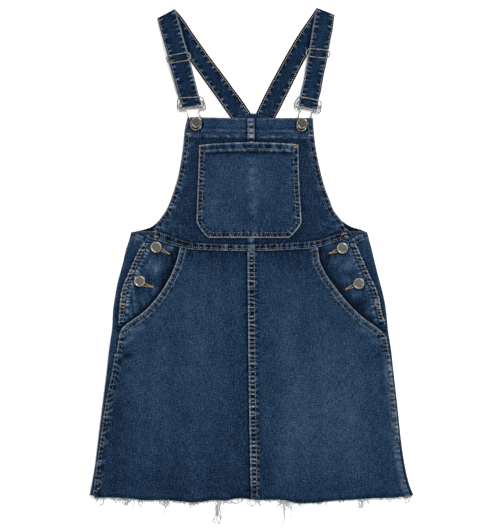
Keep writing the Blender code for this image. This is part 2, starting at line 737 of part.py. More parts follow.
def placket(name, side):
    sign = 1.0 if side == "left" else -1.0
    rows = []
    for y in (36.5, 26, 14, 2, -10, -22, -34, -46, -58, -70, -82, -86.5):
        e = at(FRONT_EDGE, side, y) + sign * 0.5
        rows.append([(e, y), (e + sign * 4.4, y), (e + sign * 8.8, y)])
    strip_on(name, rows, LIE, CLOTH, DENIM_WORN)


def side_seam(name, side, low):
    """Felled side seam lying over the join of skirt front and back."""
    sign = 1.0 if side == "left" else -1.0
    rows = []
    for y in (-131, -155, -191, -227, -263, -300, -327, -344):
        if y < low:
            break
        e = at(BODY, "seam_left" if side == "left" else "seam_right", y) - sign * 2.0
        if side == "right":
            e -= 1.0
        rows.append([(e, y), (e + sign * 3.8, y), (e + sign * 7.6, y)])
    strip_on(name, rows, LIE + 0.1, STRIP, DENIM_WORN)


def pocket():
    """Patch pocket on the bib, humped where the bib's centre seam runs under."""
    grid = []
    for row in POCKET:
        c = at(CENTRE, "x", row.y)
        xs = [mix(row.left, c - 13.0, t) for t in (0.0, 0.35, 0.70)]
        xs += [c - 13.0, c - 7.6, c + 7.6, c + 13.0]
        xs += [mix(c + 13.0, row.right, t) for t in (0.30, 0.65, 1.0)]
        pts = []
        for x in xs:
            arch = 4.0 * (1.0 - (x / 80.0) ** 2) * smooth((row.y - 150.0) / 31.0)
            y = row.y + arch
            hump = (STRIP + GAP) * (1.0 - smooth((abs(x - c) - 7.7) / 5.0))
            pts.append((x, y, front_low(x, y) + CLOTH + LIE + 0.15 + hump))
        grid.append(pts)
    panel("bib_pocket", grid, CLOTH, DENIM_MID)


def fringe():
    """Plain thin wall of the reach of the frayed threads below the hem."""
    grid = []
    for row in HEM:
        grid.append([(row.x, BACK_HEM_Y - 0.7, 0.0), (row.x, row.y - row.reach, 0.0)])
    panel("hem_fringe", grid, CLOTH, FRAY)


def ribbon(name, path, thickness, colour):
    """A flat strap: a wall about a path of (edge a, edge b) pairs."""
    lower, upper = [], []
    for i, (a, b) in enumerate(path):
        prev = path[max(i - 1, 0)]
        nxt = path[min(i + 1, len(path) - 1)]
        along = ((nxt[0] + nxt[1]) - (prev[0] + prev[1])).normalized()
        across = (b - a).normalized()
        out = across.cross(along).normalized() * (thickness / 2)
        lower.append([tuple(a.lerp(b, t) - out) for t in (0.0, 0.5, 1.0)])
        upper.append([tuple(a.lerp(b, t) + out) for t in (0.0, 0.5, 1.0)])
    return shell(name, lower, upper, colour)


def strap(name, back, fold, front, tail, pin):
    """Strap path: up the back, over the shoulder fold, down the front, round
    the buckle pin and up again behind to the slider."""

    def pair(s):
        return Vector((s.ax, s.ay, s.z)), Vector((s.bx, s.by, s.z))

    path = [pair(s) for s in back]
    # shoulder fold: a half turn about the fold line
    fa, fb = Vector((fold.ax, fold.ay, 0)), Vector((fold.bx, fold.by, 0))
    line = (fb - fa).normalized()
    out = Vector((-line.y, line.x, 0))
    if out.y < 0:
        out = -out
    r = (STRAP + GAP) / 2
    for k in range(5):
        a = math.pi * (-0.5 + k / 4)
        shift = out * (r * math.cos(a)) + Vector((0, 0, fold.z + r * math.sin(a)))
        path.append((fa + shift, fb + shift))
    path += [pair(s) for s in front]
    # round the pin: a half turn below its axis
    pa, pb = Vector((*pin[0], 0)), Vector((*pin[1], 0))
    line = (pb - pa).normalized()
    down = Vector((line.y, -line.x, 0))
    if down.y > 0:
        down = -down
    for k in range(1, 8):
        a = math.pi * (0.5 - k / 8)
        shift = down * (TURN_R * math.cos(a)) + Vector((0, 0, PIN_Z + TURN_R * math.sin(a)))
        path.append((pa + shift, pb + shift))
    path += [pair(s) for s in tail]
    return ribbon(name, path, STRAP, DENIM_DARK)


def button(spec, colour_rim):
    """Tack button: shank, domed cap with a raised rim and a sunk face."""
    z = front_low(spec.x, spec.y) + CLOTH + GAP
    s = spec.shank
    profile = (
        (3.4, 0.0), (3.4, s), (BUTTON_R - 0.6, s + 0.2), (BUTTON_R, s + 1.2),
        (BUTTON_R - 0.7, s + 2.5), (BUTTON_R - 2.0, s + 2.7), (BUTTON_R - 2.4, s + 2.3),
    )
    turned(spec.name, (spec.x, spec.y, z), profile, 18, colour_rim, 0.35, 0.9)


def clear_scene():
    for ob in list(bpy.data.objects):
        bpy.data.objects.remove(ob, do_unlink=True)


clear_scene()
GARMENT = bpy.data.objects.new("garment_frame", None)
bpy.context.scene.collection.objects.link(GARMENT)

back_skirt()
back_bib()
for side in ("left", "right"):
    bib_half(f"bib_{side}", side)
    skirt_half(f"skirt_front_{side}", side)
    panel(f"hip_yoke_{side}", hip_grid(side), CLOTH, DENIM_MID)
    placket(f"side_placket_{side}", side)
side_seam("side_seam_left", "left", -350.0)
side_seam("side_seam_right", "right", -270.0)
centre_strip("bib_centre_seam", (34.5, 50, 66, 90, 125, 152, 168, 181, 196, 210, 221.5))
centre_strip("skirt_centre_seam", (22.0,) + SKIRT_ROWS[2:-1] + (-349.5,))
waist_strip()
pocket()
fringe()

strap("strap_left", STRAP_LEFT_BACK, STRAP_LEFT_FOLD, STRAP_LEFT_FRONT, STRAP_LEFT_TAIL,
      ((-104.4, 243.7), (-75.0, 246.9)))
strap("strap_right", STRAP_RIGHT_BACK, STRAP_RIGHT_FOLD, STRAP_RIGHT_FRONT, STRAP_RIGHT_TAIL,
      ((100.2, 240.7), (72.6, 246.0)))
for side, slider, link, hook in (
    ("left", SLIDER_LEFT, LINK_LEFT, HOOK_LEFT),
    ("right", SLIDER_RIGHT, LINK_RIGHT, HOOK_RIGHT),
):
    tube(f"slider_{side}", wire_path(slider, 2), 6, NICKEL)
    tube(f"buckle_bar_{side}", wire_path(link, 2), 8, NICKEL)
    tube(f"buckle_hook_{side}", wire_path(hook, 2), 6, NICKEL)
for spec in BIB_BUTTONS:
    button(spec, ENAMEL)
for spec in SIDE_BUTTONS:
    button(spec, NICKEL)
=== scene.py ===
"""Looks of the denim overall skirt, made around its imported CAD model.

The garment lies flat at z = 0, +Y up to the straps, +X to the viewer's right.
Every cloth piece is a thin shell on the form of its CAD solid: the same sewing
tables, worked out on a finer grid, with its puckers, hems and creases as soft
ridges and troughs. Sizes are in millimetres here, and metres in the meshes.
"""

import math
from collections import namedtuple

import bpy
import numpy as np
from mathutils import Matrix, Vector
from mathutils.bvhtree import BVHTree


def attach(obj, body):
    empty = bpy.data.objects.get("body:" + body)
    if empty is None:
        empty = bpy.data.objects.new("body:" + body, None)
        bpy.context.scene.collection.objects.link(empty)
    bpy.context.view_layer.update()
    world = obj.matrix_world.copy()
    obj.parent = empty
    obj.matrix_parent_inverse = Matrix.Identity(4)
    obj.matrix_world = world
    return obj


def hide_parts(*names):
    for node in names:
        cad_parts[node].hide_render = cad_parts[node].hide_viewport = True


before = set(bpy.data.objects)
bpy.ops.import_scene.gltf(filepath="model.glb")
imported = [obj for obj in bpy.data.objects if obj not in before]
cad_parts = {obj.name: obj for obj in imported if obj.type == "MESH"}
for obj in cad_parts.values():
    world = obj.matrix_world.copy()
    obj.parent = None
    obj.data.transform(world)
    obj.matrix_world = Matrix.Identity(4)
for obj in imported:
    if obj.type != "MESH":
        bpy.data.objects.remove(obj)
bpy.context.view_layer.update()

MM = 0.001
LIGHT = 1.40           # how bright a white surface facing up comes out

# ------------------------------------------------------- sewing sizes (mm)
CLOTH = 1.2
STRIP = 1.0
STRAP = 1.8
GAP = 0.3
LIE = 0.4
HEM_Y = -350.0
BACK_HEM_Y = -343.5
CORNER_Y = 51.5
POCKET_REACH = 26.0
STEP_UP = CLOTH + 2 * GAP
BUTTON_R = 8.5
WIRE_R = 0.95

Body = namedtuple("Body", "y left right fold seam_left seam_right")
BODY = (
    Body(-350.0, -243.5, 245.1, 4.5, -236.5, 241.8),
    Body(-343.5, -242.0, 243.5, 4.5, -235.5, 240.3),
    Body(-327.0, -238.8, 237.2, 4.5, -233.0, 233.9),
    Body(-300.0, -234.0, 230.9, 4.5, -230.0, 227.7),
    Body(-263.0, -229.5, 225.2, 4.5, -224.5, 222.0),
    Body(-227.0, -225.0, 221.4, 4.5, -219.5, 218.2),
    Body(-191.0, -220.5, 217.5, 4.5, -213.5, 214.3),
    Body(-155.0, -216.0, 213.4, 4.5, -206.0, 210.2),
    Body(-128.0, -213.1, 210.5, 4.5, -202.0, 207.1),
    Body(-107.0, -210.2, 207.3, 3.6, -198.5, 203.6),
    Body(-98.0, -208.8, 205.9, 3.0, -182.0, 186.0),
    Body(-88.0, -207.8, 204.8, 3.0, -180.0, 182.6),
    Body(-65.5, -206.7, 202.6, 3.0, -178.0, 175.0),
    Body(-47.5, -204.0, 199.4, 3.0, -176.0, 172.0),
    Body(-29.5, -201.0, 195.0, 3.0, -171.5, 165.5),
    Body(-11.5, -196.5, 190.1, 3.0, -164.0, 157.5),
    Body(6.5, -191.6, 185.7, 3.0, -156.5, 149.5),
    Body(24.5, -187.5, 181.4, 3.0, -148.0, 142.0),
    Body(38.0, -183.0, 177.8, 3.0, -139.0, 135.0),
    Body(CORNER_Y, -179.3, 174.2, 3.0, -134.0, 131.0),
)
Edge = namedtuple("Edge", "y left right")
FRONT_EDGE = (
    Edge(-102.0, -201.0, 204.8),
    Edge(-88.0, -199.5, 202.5),
    Edge(-65.5, -197.9, 195.6),
    Edge(-45.0, -196.0, 192.0),
    Edge(-28.0, -191.6, 185.5),
    Edge(-10.0, -184.1, 176.5),
    Edge(12.0, -174.5, 167.0),
    Edge(32.0, -163.5, 158.0),
    Edge(43.5, -154.5, 151.6),
    Edge(51.0, -149.0, 146.8),
    Edge(59.0, -143.3, 140.7),
    Edge(70.0, -137.8, 135.5),
    Edge(88.0, -126.9, 123.9),
    Edge(106.0, -119.6, 117.2),
    Edge(124.0, -113.6, 110.6),
    Edge(142.0, -108.5, 105.5),
    Edge(178.0, -102.2, 97.6),
    Edge(205.0, -99.1, 94.1),
    Edge(223.5, -94.5, 92.8),
)
OPENING = (
    Edge(-350.0, -235.4, 240.7),
    Edge(-343.5, -234.5, 239.2),
    Edge(-327.0, -232.3, 233.1),
    Edge(-300.0, -229.4, 227.0),
    Edge(-263.0, -224.2, 221.7),
    Edge(-227.0, -219.2, 217.9),
    Edge(-191.0, -213.2, 214.0),
    Edge(-155.0, -205.7, 209.9),
    Edge(-128.0, -201.7, 206.8),
    Edge(-107.0, -198.2, 203.0),
    Edge(-97.5, -196.0, 195.6),
    Edge(-88.0, -188.0, 183.4),
    Edge(-78.5, -174.5, 169.8),
    Edge(-67.5, -160.0, 157.6),
    Edge(-52.0, -145.0, 142.6),
    Edge(-32.0, -130.5, 126.6),
    Edge(-11.0, -119.0, 112.0),
    Edge(9.5, -111.0, 102.6),
    Edge(30.0, -106.0, 100.2),
)
Waist = namedtuple("Waist", "x low high")
WAIST = (
    Waist(-155.0, 42.0, 56.5),
    Waist(-141.0, 38.5, 53.5),
    Waist(-121.0, 32.5, 46.5),
    Waist(-106.0, 28.5, 41.0),
    Waist(-85.0, 25.0, 36.0),
    Waist(-6.0, 23.0, 33.0),
    Waist(80.0, 26.0, 37.0),
    Waist(105.0, 29.5, 41.0),
    Waist(118.0, 33.5, 45.5),
    Waist(138.0, 40.0, 52.0),
    Waist(152.0, 44.5, 56.5),
)
BACK_BIB = (
    Edge(CORNER_Y + GAP, -176.0, 172.0),
    Edge(54.5, -162.8, 165.8),
    Edge(59.0, -149.6, 150.8),
    Edge(66.5, -140.2, 138.6),
    Edge(75.5, -129.0, 128.0),
    Edge(93.5, -112.0, 108.0),
    Edge(120.5, -93.0, 92.0),
    Edge(155.0, -72.0, 74.0),
    Edge(180.0, -56.0, 60.0),
    Edge(193.0, -48.0, 53.0),
    Edge(206.0, -39.5, 45.0),
    Edge(218.0, -29.5, 36.0),
    Edge(225.0, -20.0, 26.5),
    Edge(229.0, -9.5, 17.0),
)
POCKET = (
    Edge(42.6, -64.0, 57.5),
    Edge(49.0, -70.5, 64.0),
    Edge(58.0, -77.5, 71.5),
    Edge(66.0, -81.5, 75.5),
    Edge(90.0, -81.0, 74.3),
    Edge(125.0, -79.7, 72.3),
    Edge(152.0, -78.4, 71.5),
    Edge(168.0, -78.0, 71.3),
    Edge(181.5, -77.8, 71.0),
)
Centre = namedtuple("Centre", "y x half")
CENTRE = (
    Centre(-351.0, 5.0, 5.2),
    Centre(-155.0, 1.8, 5.4),
    Centre(23.0, 0.4, 5.6),
    Centre(60.0, 0.3, 5.8),
    Centre(223.0, 0.2, 5.8),
)
Hem = namedtuple("Hem", "x y reach")
HEM = (
    Hem(-242.5, -347.0, 6.0),
    Hem(-224.0, -346.8, 9.0),
    Hem(-186.0, -347.6, 14.0),
    Hem(-160.0, -351.0, 11.0),
    Hem(-131.0, -351.0, 20.0),
    Hem(-118.0, -351.5, 9.0),
    Hem(-89.0, -354.2, 11.0),
    Hem(-73.0, -353.4, 11.0),
    Hem(-60.0, -351.0, 12.0),
    Hem(-51.0, -351.0, 36.0),
    Hem(-42.0, -351.5, 12.0),
    Hem(-16.0, -348.0, 10.0),
    Hem(14.0, -350.5, 9.0),
    Hem(41.0, -350.2, 12.0),
    Hem(49.0, -350.9, 36.0),
    Hem(58.0, -352.6, 24.0),
    Hem(70.0, -355.4, 8.0),
    Hem(97.0, -355.0, 8.0),
    Hem(115.0, -352.4, 9.0),
    Hem(158.0, -349.8, 9.0),
    Hem(168.0, -348.5, 24.0),
    Hem(179.0, -348.0, 9.0),
    Hem(213.0, -347.0, 8.0),
    Hem(242.5, -344.0, 10.0),
)
Station = namedtuple("Station", "ax ay bx by z")
STRAP_LEFT_BACK = (
    Station(-22.0, 212.0, 3.6, 223.5, 0.9),
    Station(-37.0, 231.5, -12.6, 248.0, 0.9),
    Station(-49.5, 249.5, -25.1, 264.5, 0.9),
    Station(-62.5, 267.5, -37.6, 282.0, 0.9),
    Station(-88.0, 303.5, -62.6, 315.0, 0.9),
    Station(-111.0, 336.0, -88.1, 351.0, 0.9),
    Station(-131.0, 362.0, -103.1, 373.0, 0.9),
)
STRAP_LEFT_FOLD = Station(-140.0, 370.0, -113.0, 384.3, 1.95)
STRAP_LEFT_FRONT = (
    Station(-136.3, 355.0, -106.6, 363.5, 3.0),
    Station(-133.4, 345.0, -103.7, 352.5, 3.3),
    Station(-129.4, 330.0, -99.5, 337.5, 4.9),
    Station(-127.0, 322.0, -97.1, 329.5, 5.1),
    Station(-121.0, 300.0, -91.1, 307.5, 5.1),
    Station(-117.6, 288.0, -87.8, 295.0, 4.2),
    Station(-114.0, 275.0, -84.3, 281.0, 3.1),
    Station(-110.4, 262.0, -81.0, 267.5, 3.4),
    Station(-106.6, 252.0, -78.0, 256.0, 4.6),
    Station(-105.0, 246.5, -75.8, 250.0, 5.25),
)
STRAP_LEFT_TAIL = (
    Station(-105.5, 247.5, -77.0, 251.0, 0.9),
    Station(-107.6, 252.5, -80.2, 257.0, 0.9),
    Station(-111.4, 262.0, -83.6, 267.5, 0.9),
    Station(-114.6, 274.0, -86.8, 280.0, 0.9),
    Station(-117.8, 286.0, -90.2, 292.5, 2.4),
    Station(-120.2, 295.0, -92.6, 302.0, 3.0),
    Station(-124.4, 311.0, -96.6, 318.0, 3.0),
)
STRAP_RIGHT_BACK = (
    Station(28.5, 209.0, 5.2, 224.0, 0.9),
    Station(41.6, 231.5, 15.0, 245.5, 0.9),
    Station(50.6, 249.5, 24.0, 263.5, 0.9),
    Station(59.6, 267.5, 33.2, 281.0, 0.9),
    Station(77.6, 303.5, 52.4, 316.0, 0.9),
    Station(94.6, 334.0, 71.0, 347.5, 0.9),
    Station(112.6, 363.0, 88.0, 372.0, 0.9),
)
STRAP_RIGHT_FOLD = Station(125.2, 375.0, 97.5, 386.0, 1.95)
STRAP_RIGHT_FRONT = (
    Station(122.6, 355.0, 93.2, 362.0, 3.0),
    Station(120.6, 345.0, 91.2, 350.5, 3.3),
    Station(118.2, 333.0, 89.4, 337.8, 4.9),
    Station(117.0, 326.0, 88.2, 330.8, 5.1),
    Station(112.8, 303.0, 84.0, 307.8, 5.1),
    Station(109.6, 289.0, 81.4, 293.8, 4.0),
    Station(107.0, 276.0, 79.2, 280.8, 3.1),
    Station(104.6, 262.0, 76.0, 267.2, 3.4),
    Station(101.6, 250.5, 73.6, 256.0, 4.6),
    Station(100.6, 243.5, 72.4, 249.2, 5.25),
)
STRAP_RIGHT_TAIL = (
    Station(101.0, 245.0, 73.4, 250.4, 0.9),
    Station(102.2, 251.0, 75.4, 256.5, 0.9),
    Station(105.4, 262.0, 77.4, 267.2, 0.9),
    Station(107.8, 276.0, 79.8, 281.0, 0.9),
    Station(110.2, 290.0, 82.0, 295.0, 2.4),
    Station(112.6, 300.0, 84.0, 305.0, 3.0),
    Station(114.8, 313.0, 86.4, 318.0, 3.0),
)
PIN_R = 1.0
TURN_R = PIN_R + GAP + STRAP / 2
PIN_Z = 0.9 + TURN_R

Corner = namedtuple("Corner", "x y z r")
SLIDER_LEFT = (
    Corner(-119.0, 316.2, 7.4, WIRE_R),
    Corner(-100.0, 319.6, 7.4, WIRE_R),
    Corner(-93.5, 319.2, 7.15, WIRE_R),
    Corner(-90.6, 314.6, 6.3, WIRE_R),
    Corner(-93.0, 309.8, 7.15, WIRE_R),
    Corner(-99.0, 307.9, 7.4, WIRE_R),
    Corner(-117.5, 304.8, 7.4, WIRE_R),
    Corner(-123.6, 305.2, 7.15, WIRE_R),
    Corner(-126.6, 309.6, 6.3, WIRE_R),
    Corner(-125.0, 314.2, 7.15, WIRE_R),
)
SLIDER_RIGHT = (
    Corner(90.5, 325.8, 7.4, WIRE_R),
    Corner(110.5, 324.2, 7.4, WIRE_R),
    Corner(116.2, 322.8, 7.15, WIRE_R),
    Corner(118.4, 318.2, 6.3, WIRE_R),
    Corner(115.8, 313.2, 7.15, WIRE_R),
    Corner(109.8, 312.0, 7.4, WIRE_R),
    Corner(90.2, 314.0, 7.4, WIRE_R),
    Corner(84.4, 315.8, 7.15, WIRE_R),
    Corner(82.4, 320.6, 6.3, WIRE_R),
    Corner(85.0, 324.8, 7.15, WIRE_R),
)
BAR_R = 1.9
LINK_LEFT = (
    Corner(-106.0, 236.4, 3.2, BAR_R),
    Corner(-88.0, 237.6, 3.2, BAR_R),
    Corner(-72.0, 238.6, 3.2, BAR_R),
    Corner(-71.2, 241.6, PIN_Z, PIN_R),
    Corner(-72.8, 247.1, PIN_Z, PIN_R),
    Corner(-90.0, 245.2, PIN_Z, PIN_R),
    Corner(-106.8, 243.4, PIN_Z, PIN_R),
    Corner(-107.9, 239.6, PIN_Z, PIN_R),
)
LINK_RIGHT = (
    Corner(69.3, 238.6, 3.2, BAR_R),
    Corner(85.0, 235.8, 3.2, BAR_R),
    Corner(98.0, 233.6, 3.2, BAR_R),
    Corner(101.6, 235.6, PIN_Z, PIN_R),
    Corner(102.9, 240.1, PIN_Z, PIN_R),
    Corner(86.5, 243.6, PIN_Z, PIN_R),
    Corner(70.6, 246.4, PIN_Z, PIN_R),
    Corner(68.7, 242.4, PIN_Z, PIN_R),
)
HOOK_LEFT = (
    Corner(-107.6, 251.8, 8.0, WIRE_R),
    Corner(-91.0, 252.8, 8.0, WIRE_R),
    Corner(-75.4, 253.8, 8.0, WIRE_R),
    Corner(-72.4, 251.4, 7.2, WIRE_R),
    Corner(-69.2, 243.0, 5.2, WIRE_R),
    Corner(-67.9, 237.4, 4.0, WIRE_R),
    Corner(-70.0, 234.4, 3.6, WIRE_R),
    Corner(-76.4, 234.0, 3.6, WIRE_R),
    Corner(-78.4, 231.2, 3.8, WIRE_R),
    Corner(-76.4, 225.4, 4.2, WIRE_R),
    Corner(-76.2, 220.0, 4.3, 1.05),
    Corner(-75.0, 213.6, 4.3, 1.05),
    Corner(-77.2, 206.8, 4.3, 1.05),
    Corner(-82.6, 204.4, 4.3, 1.05),
    Corner(-88.2, 206.8, 4.3, 1.05),
    Corner(-90.2, 213.2, 4.3, 1.05),
    Corner(-91.2, 218.6, 4.3, 1.05),
    Corner(-94.6, 226.0, 4.2, WIRE_R),
    Corner(-96.0, 230.6, 3.8, WIRE_R),
    Corner(-99.6, 232.8, 3.6, WIRE_R),
    Corner(-106.4, 232.4, 3.6, WIRE_R),
    Corner(-109.8, 235.2, 4.0, WIRE_R),
    Corner(-110.6, 241.4, 5.2, WIRE_R),
    Corner(-110.0, 249.0, 7.2, WIRE_R),
)
HOOK_RIGHT = (
    Corner(73.2, 253.8, 8.0, WIRE_R),
    Corner(88.0, 251.2, 8.0, WIRE_R),
    Corner(101.8, 248.2, 8.0, WIRE_R),
    Corner(105.0, 245.2, 7.2, WIRE_R),
    Corner(104.9, 238.4, 5.2, WIRE_R),
    Corner(103.8, 231.6, 4.0, WIRE_R),
    Corner(100.4, 229.4, 3.6, WIRE_R),
    Corner(93.6, 230.9, 3.6, WIRE_R),
    Corner(90.4, 229.2, 3.8, WIRE_R),
    Corner(90.2, 223.8, 4.2, WIRE_R),
    Corner(86.0, 218.6, 4.3, 1.05),
    Corner(83.8, 212.0, 4.3, 1.05),
    Corner(81.0, 205.2, 4.3, 1.05),
    Corner(75.4, 202.8, 4.3, 1.05),
    Corner(70.2, 205.4, 4.3, 1.05),
    Corner(68.8, 211.6, 4.3, 1.05),
    Corner(70.2, 217.8, 4.3, 1.05),
    Corner(71.4, 224.0, 4.2, WIRE_R),
    Corner(71.8, 229.4, 3.8, WIRE_R),
    Corner(74.4, 233.6, 3.6, WIRE_R),
    Corner(68.6, 234.8, 3.6, WIRE_R),
    Corner(65.2, 238.6, 4.0, WIRE_R),
    Corner(65.8, 244.4, 5.2, WIRE_R),
    Corner(69.6, 251.6, 7.2, WIRE_R),
)
Button = namedtuple("Button", "name x y shank")
BIB_BUTTONS = (
    Button("bib_button_left", -82.0, 215.5, 2.3),
    Button("bib_button_right", 76.5, 214.0, 2.3),
)
SIDE_BUTTONS = (
    Button("side_button_left_upper", -142.5, 28.5, 1.0),
    Button("side_button_left_lower", -167.0, -22.5, 1.0),
    Button("side_button_right_upper", 137.0, 27.0, 1.0),
    Button("side_button_right_lower", 161.5, -26.0, 1.0),
)
HIP_ROWS = (42, 30, 18, 8, -6, -20, -34, -48, -58, -67, -75, -82, -89, -97.5)


# ------------------------------------------------------------- small maths
def smooth(t):
    t = np.clip(t, 0.0, 1.0)
    return t * t * (3.0 - 2.0 * t)


def mix(a, b, t):
    return a + (b - a) * t


def bell(d, w):
    return np.exp(-(np.asarray(d, float) / w) ** 2)


def at(table, column, keys):
    """A column of a table at any keys, on a smooth curve with no overshoot."""
    k = np.array([row[0] for row in table], float)
    v = np.array([getattr(row, column) for row in table], float)
    q = np.clip(np.asarray(keys, float), k[0], k[-1])
    h = np.diff(k)
    s = np.diff(v) / h
    m = np.empty(len(k))
    m[0], m[-1] = s[0], s[-1]
    a, b = s[:-1], s[1:]
    total = np.where(np.abs(a + b) < 1e-12, 1.0, a + b)
    m[1:-1] = np.where(a * b <= 0, 0.0, 2 * a * b / total)
    i = np.clip(np.searchsorted(k, q, side="right") - 1, 0, len(k) - 2)
    t = (q - k[i]) / h[i]
    t2, t3 = t * t, t * t * t
    return (
        v[i] * (2 * t3 - 3 * t2 + 1)
        + v[i + 1] * (3 * t2 - 2 * t3)
        + h[i] * m[i] * (t3 - 2 * t2 + t)
        + h[i] * m[i + 1] * (t3 - t2)
    )


def dice(i, seed):
    """A fixed pseudo-random number from 0 to 1 for each whole number i."""
    x = np.sin(np.asarray(i, float) * 12.9898 + seed * 78.233 + 1.37) * 43758.5453
    return x - np.floor(x)


def vnoise(x, y, seed=0.0):
    """Smooth value noise from -1 to 1, one cell to each unit."""
    x, y = np.broadcast_arrays(np.asarray(x, float), np.asarray(y, float))
    i, j = np.floor(x), np.floor(y)
    u, v = smooth(x - i), smooth(y - j)

    def corner(a, b):
        return dice(a * 57.0 + b * 131.0, seed)

    top = mix(corner(i, j), corner(i + 1, j), u)
    low = mix(corner(i, j + 1), corner(i + 1, j + 1), u)
    return 2.0 * mix(top, low, v) - 1.0


def ruche(s, d, pitch, seed, slant=0.5, width=0.30, jitter=0.5, low=0.45):
    """Gathers along a seam: 1 on the crest of a pucker, 0 in the gap. s runs
    along the seam in mm, d across it from -1 to 1."""
    base = np.floor(s / pitch)
    best = np.zeros(np.broadcast(s, d).shape)
    for k in (-1, 0, 1, 2):
        i = base + k
        place = (i + 0.5 + jitter * (dice(i, seed) - 0.5)) * pitch
        height = low + (1.0 - low) * dice(i, seed + 1)
        lean = slant * (dice(i, seed + 2) * 2 - 1) * pitch
        bend = 0.3 * (dice(i, seed + 4) * 2 - 1) * pitch
        wide = width * pitch * (0.65 + 0.7 * dice(i, seed + 3))
        q = (s - place - lean * d - bend * d * d) / wide
        best = np.maximum(best, height * np.exp(-q * q))
    return best


def pleats(s, d, pitch, seed, duty=0.55, slant=0.2, jitter=0.4, soft=0.13, low=0.5):
    """Puckers with plain dark gaps between them: 1 on a pucker, 0 in a gap."""
    base = np.floor(s / pitch)
    best = np.zeros(np.broadcast(s, d).shape)
    for k in (-1, 0, 1, 2):
        i = base + k
        place = (i + 0.5 + jitter * (dice(i, seed) - 0.5)) * pitch
        height = low + (1.0 - low) * dice(i, seed + 1)
        lean = slant * (dice(i, seed + 2) * 2 - 1) * pitch
        bend = 0.25 * (dice(i, seed + 4) * 2 - 1) * pitch
        half = duty * pitch * 0.5 * (0.6 + 0.8 * dice(i, seed + 3))
        q = np.abs(s - place - lean * d - bend * d * d)
        best = np.maximum(best, height * smooth((half - q) / (2 * soft * pitch) + 0.5))
    return best


def gathered(d, r, rows):
    """Tone over a gathered band. Its rows give the place across it, the tone
    in a gap between two puckers, and the tone on a pucker."""
    k = [row[0] for row in rows]
    gap = np.interp(d, k, [row[1] for row in rows])
    crest = np.interp(d, k, [row[2] for row in rows])
    return mix(gap, crest, r)


def bib_top(x):
    return 222.0 + 1.5 * smooth(-x / 95.0) + 0.4 * smooth(x / 95.0)


def waist_mid(x):
    return (at(WAIST, "low", x) + at(WAIST, "high", x)) / 2


def front_low(x, y):
    yy = np.minimum(y, CORNER_Y)
    inside = np.minimum(x - at(BODY, "left", yy), at(BODY, "right", yy) - x)
    side = 1.8 * (1.0 - smooth((inside - 48.0) / 70.0))
    side = side * (1.0 - smooth((y - 60.0) / 70.0))
    cross = 2.1 * smooth((y - 150.0) / 38.0) * (1.0 - smooth((np.abs(x - 3.0) - 50.0) / 20.0))
    return CLOTH + GAP + side + cross


def opening_lift(x, y):
    inside = np.minimum(x - at(OPENING, "left", y), at(OPENING, "right", y) - x)
    lift = STEP_UP * (1.0 - smooth((inside - 30.0) / 32.0))
    return lift * smooth((24.0 - y) / 15.0) * smooth((y + 128.0) / 26.0)


def hem_shift(x, y):
    return (at(HEM, "y", x) - HEM_Y) * smooth((-y - 300.0) / 50.0)


# ------------------------------------------------------------ lines on cloth
def line(points, step=2.0):
    """A smooth line (N x 2) through a few points, with a point every step."""
    p = np.array(points, float)
    if len(p) == 2:
        n = max(2, int(np.hypot(*(p[1] - p[0])) / step) + 1)
        return p[0] + (p[1] - p[0]) * np.linspace(0, 1, n)[:, None]
    chord = np.concatenate([[0], np.cumsum(np.hypot(*np.diff(p, axis=0).T))])
    m = np.empty_like(p)
    m[1:-1] = (p[2:] - p[:-2]) / (chord[2:] - chord[:-2])[:, None]
    m[0] = (p[1] - p[0]) / chord[1]
    m[-1] = (p[-1] - p[-2]) / (chord[-1] - chord[-2])
    n = max(3, int(chord[-1] / step) + 1)
    q = np.linspace(0, chord[-1], n)
    i = np.clip(np.searchsorted(chord, q, side="right") - 1, 0, len(p) - 2)
    h = (chord[i + 1] - chord[i])[:, None]
    t = ((q - chord[i]) / (chord[i + 1] - chord[i]))[:, None]
    return (
        p[i] * (2 * t**3 - 3 * t**2 + 1)
        + p[i + 1] * (3 * t**2 - 2 * t**3)
        + h * m[i] * (t**3 - 2 * t**2 + t)
        + h * m[i + 1] * (t**3 - t**2)
    )


def broken(points, step=2.0):
    """A line of straight runs between its points."""
    runs = [line(points[i:i + 2], step) for i in range(len(points) - 1)]
    return np.concatenate([r if i == 0 else r[1:] for i, r in enumerate(runs)])


def edge_line(table, side, y0, y1, step=3.0):
    ys = np.linspace(y0, y1, max(3, int(abs(y1 - y0) / step)))
    return np.stack([at(table, side, ys), ys], axis=1)


def offset(pts, d):
    """The line moved d to its left-hand side."""
    t = np.gradient(pts, axis=0)
    t /= np.maximum(np.hypot(t[:, 0], t[:, 1]), 1e-9)[:, None]
    return pts + d * np.stack([-t[:, 1], t[:, 0]], axis=1)


def near(pts, x, y):
    """For points (x, y): distance along a line, signed distance from it
    (positive on its left), and how far past its ends."""
    x, y = np.asarray(x, float), np.asarray(y, float)
    seg = np.diff(pts, axis=0)
    length = np.hypot(seg[:, 0], seg[:, 1])
    start = np.concatenate([[0], np.cumsum(length)[:-1]])
    best = np.full(x.shape, 1e18)
    along = np.zeros(x.shape)
    side = np.zeros(x.shape)
    for k in range(len(seg)):
        if length[k] < 1e-9:
            continue
        ux, uy = seg[k] / length[k]
        dx, dy = x - pts[k, 0], y - pts[k, 1]
        t = np.clip(dx * ux + dy * uy, 0.0, length[k])
        ex, ey = dx - t * ux, dy - t * uy
        d2 = ex * ex + ey * ey
        m = d2 < best
        best = np.where(m, d2, best)
        along = np.where(m, start[k] + t, along)
        side = np.where(m, np.where(ux * dy - uy * dx >= 0, 1.0, -1.0), side)
    return along, np.sqrt(best) * side


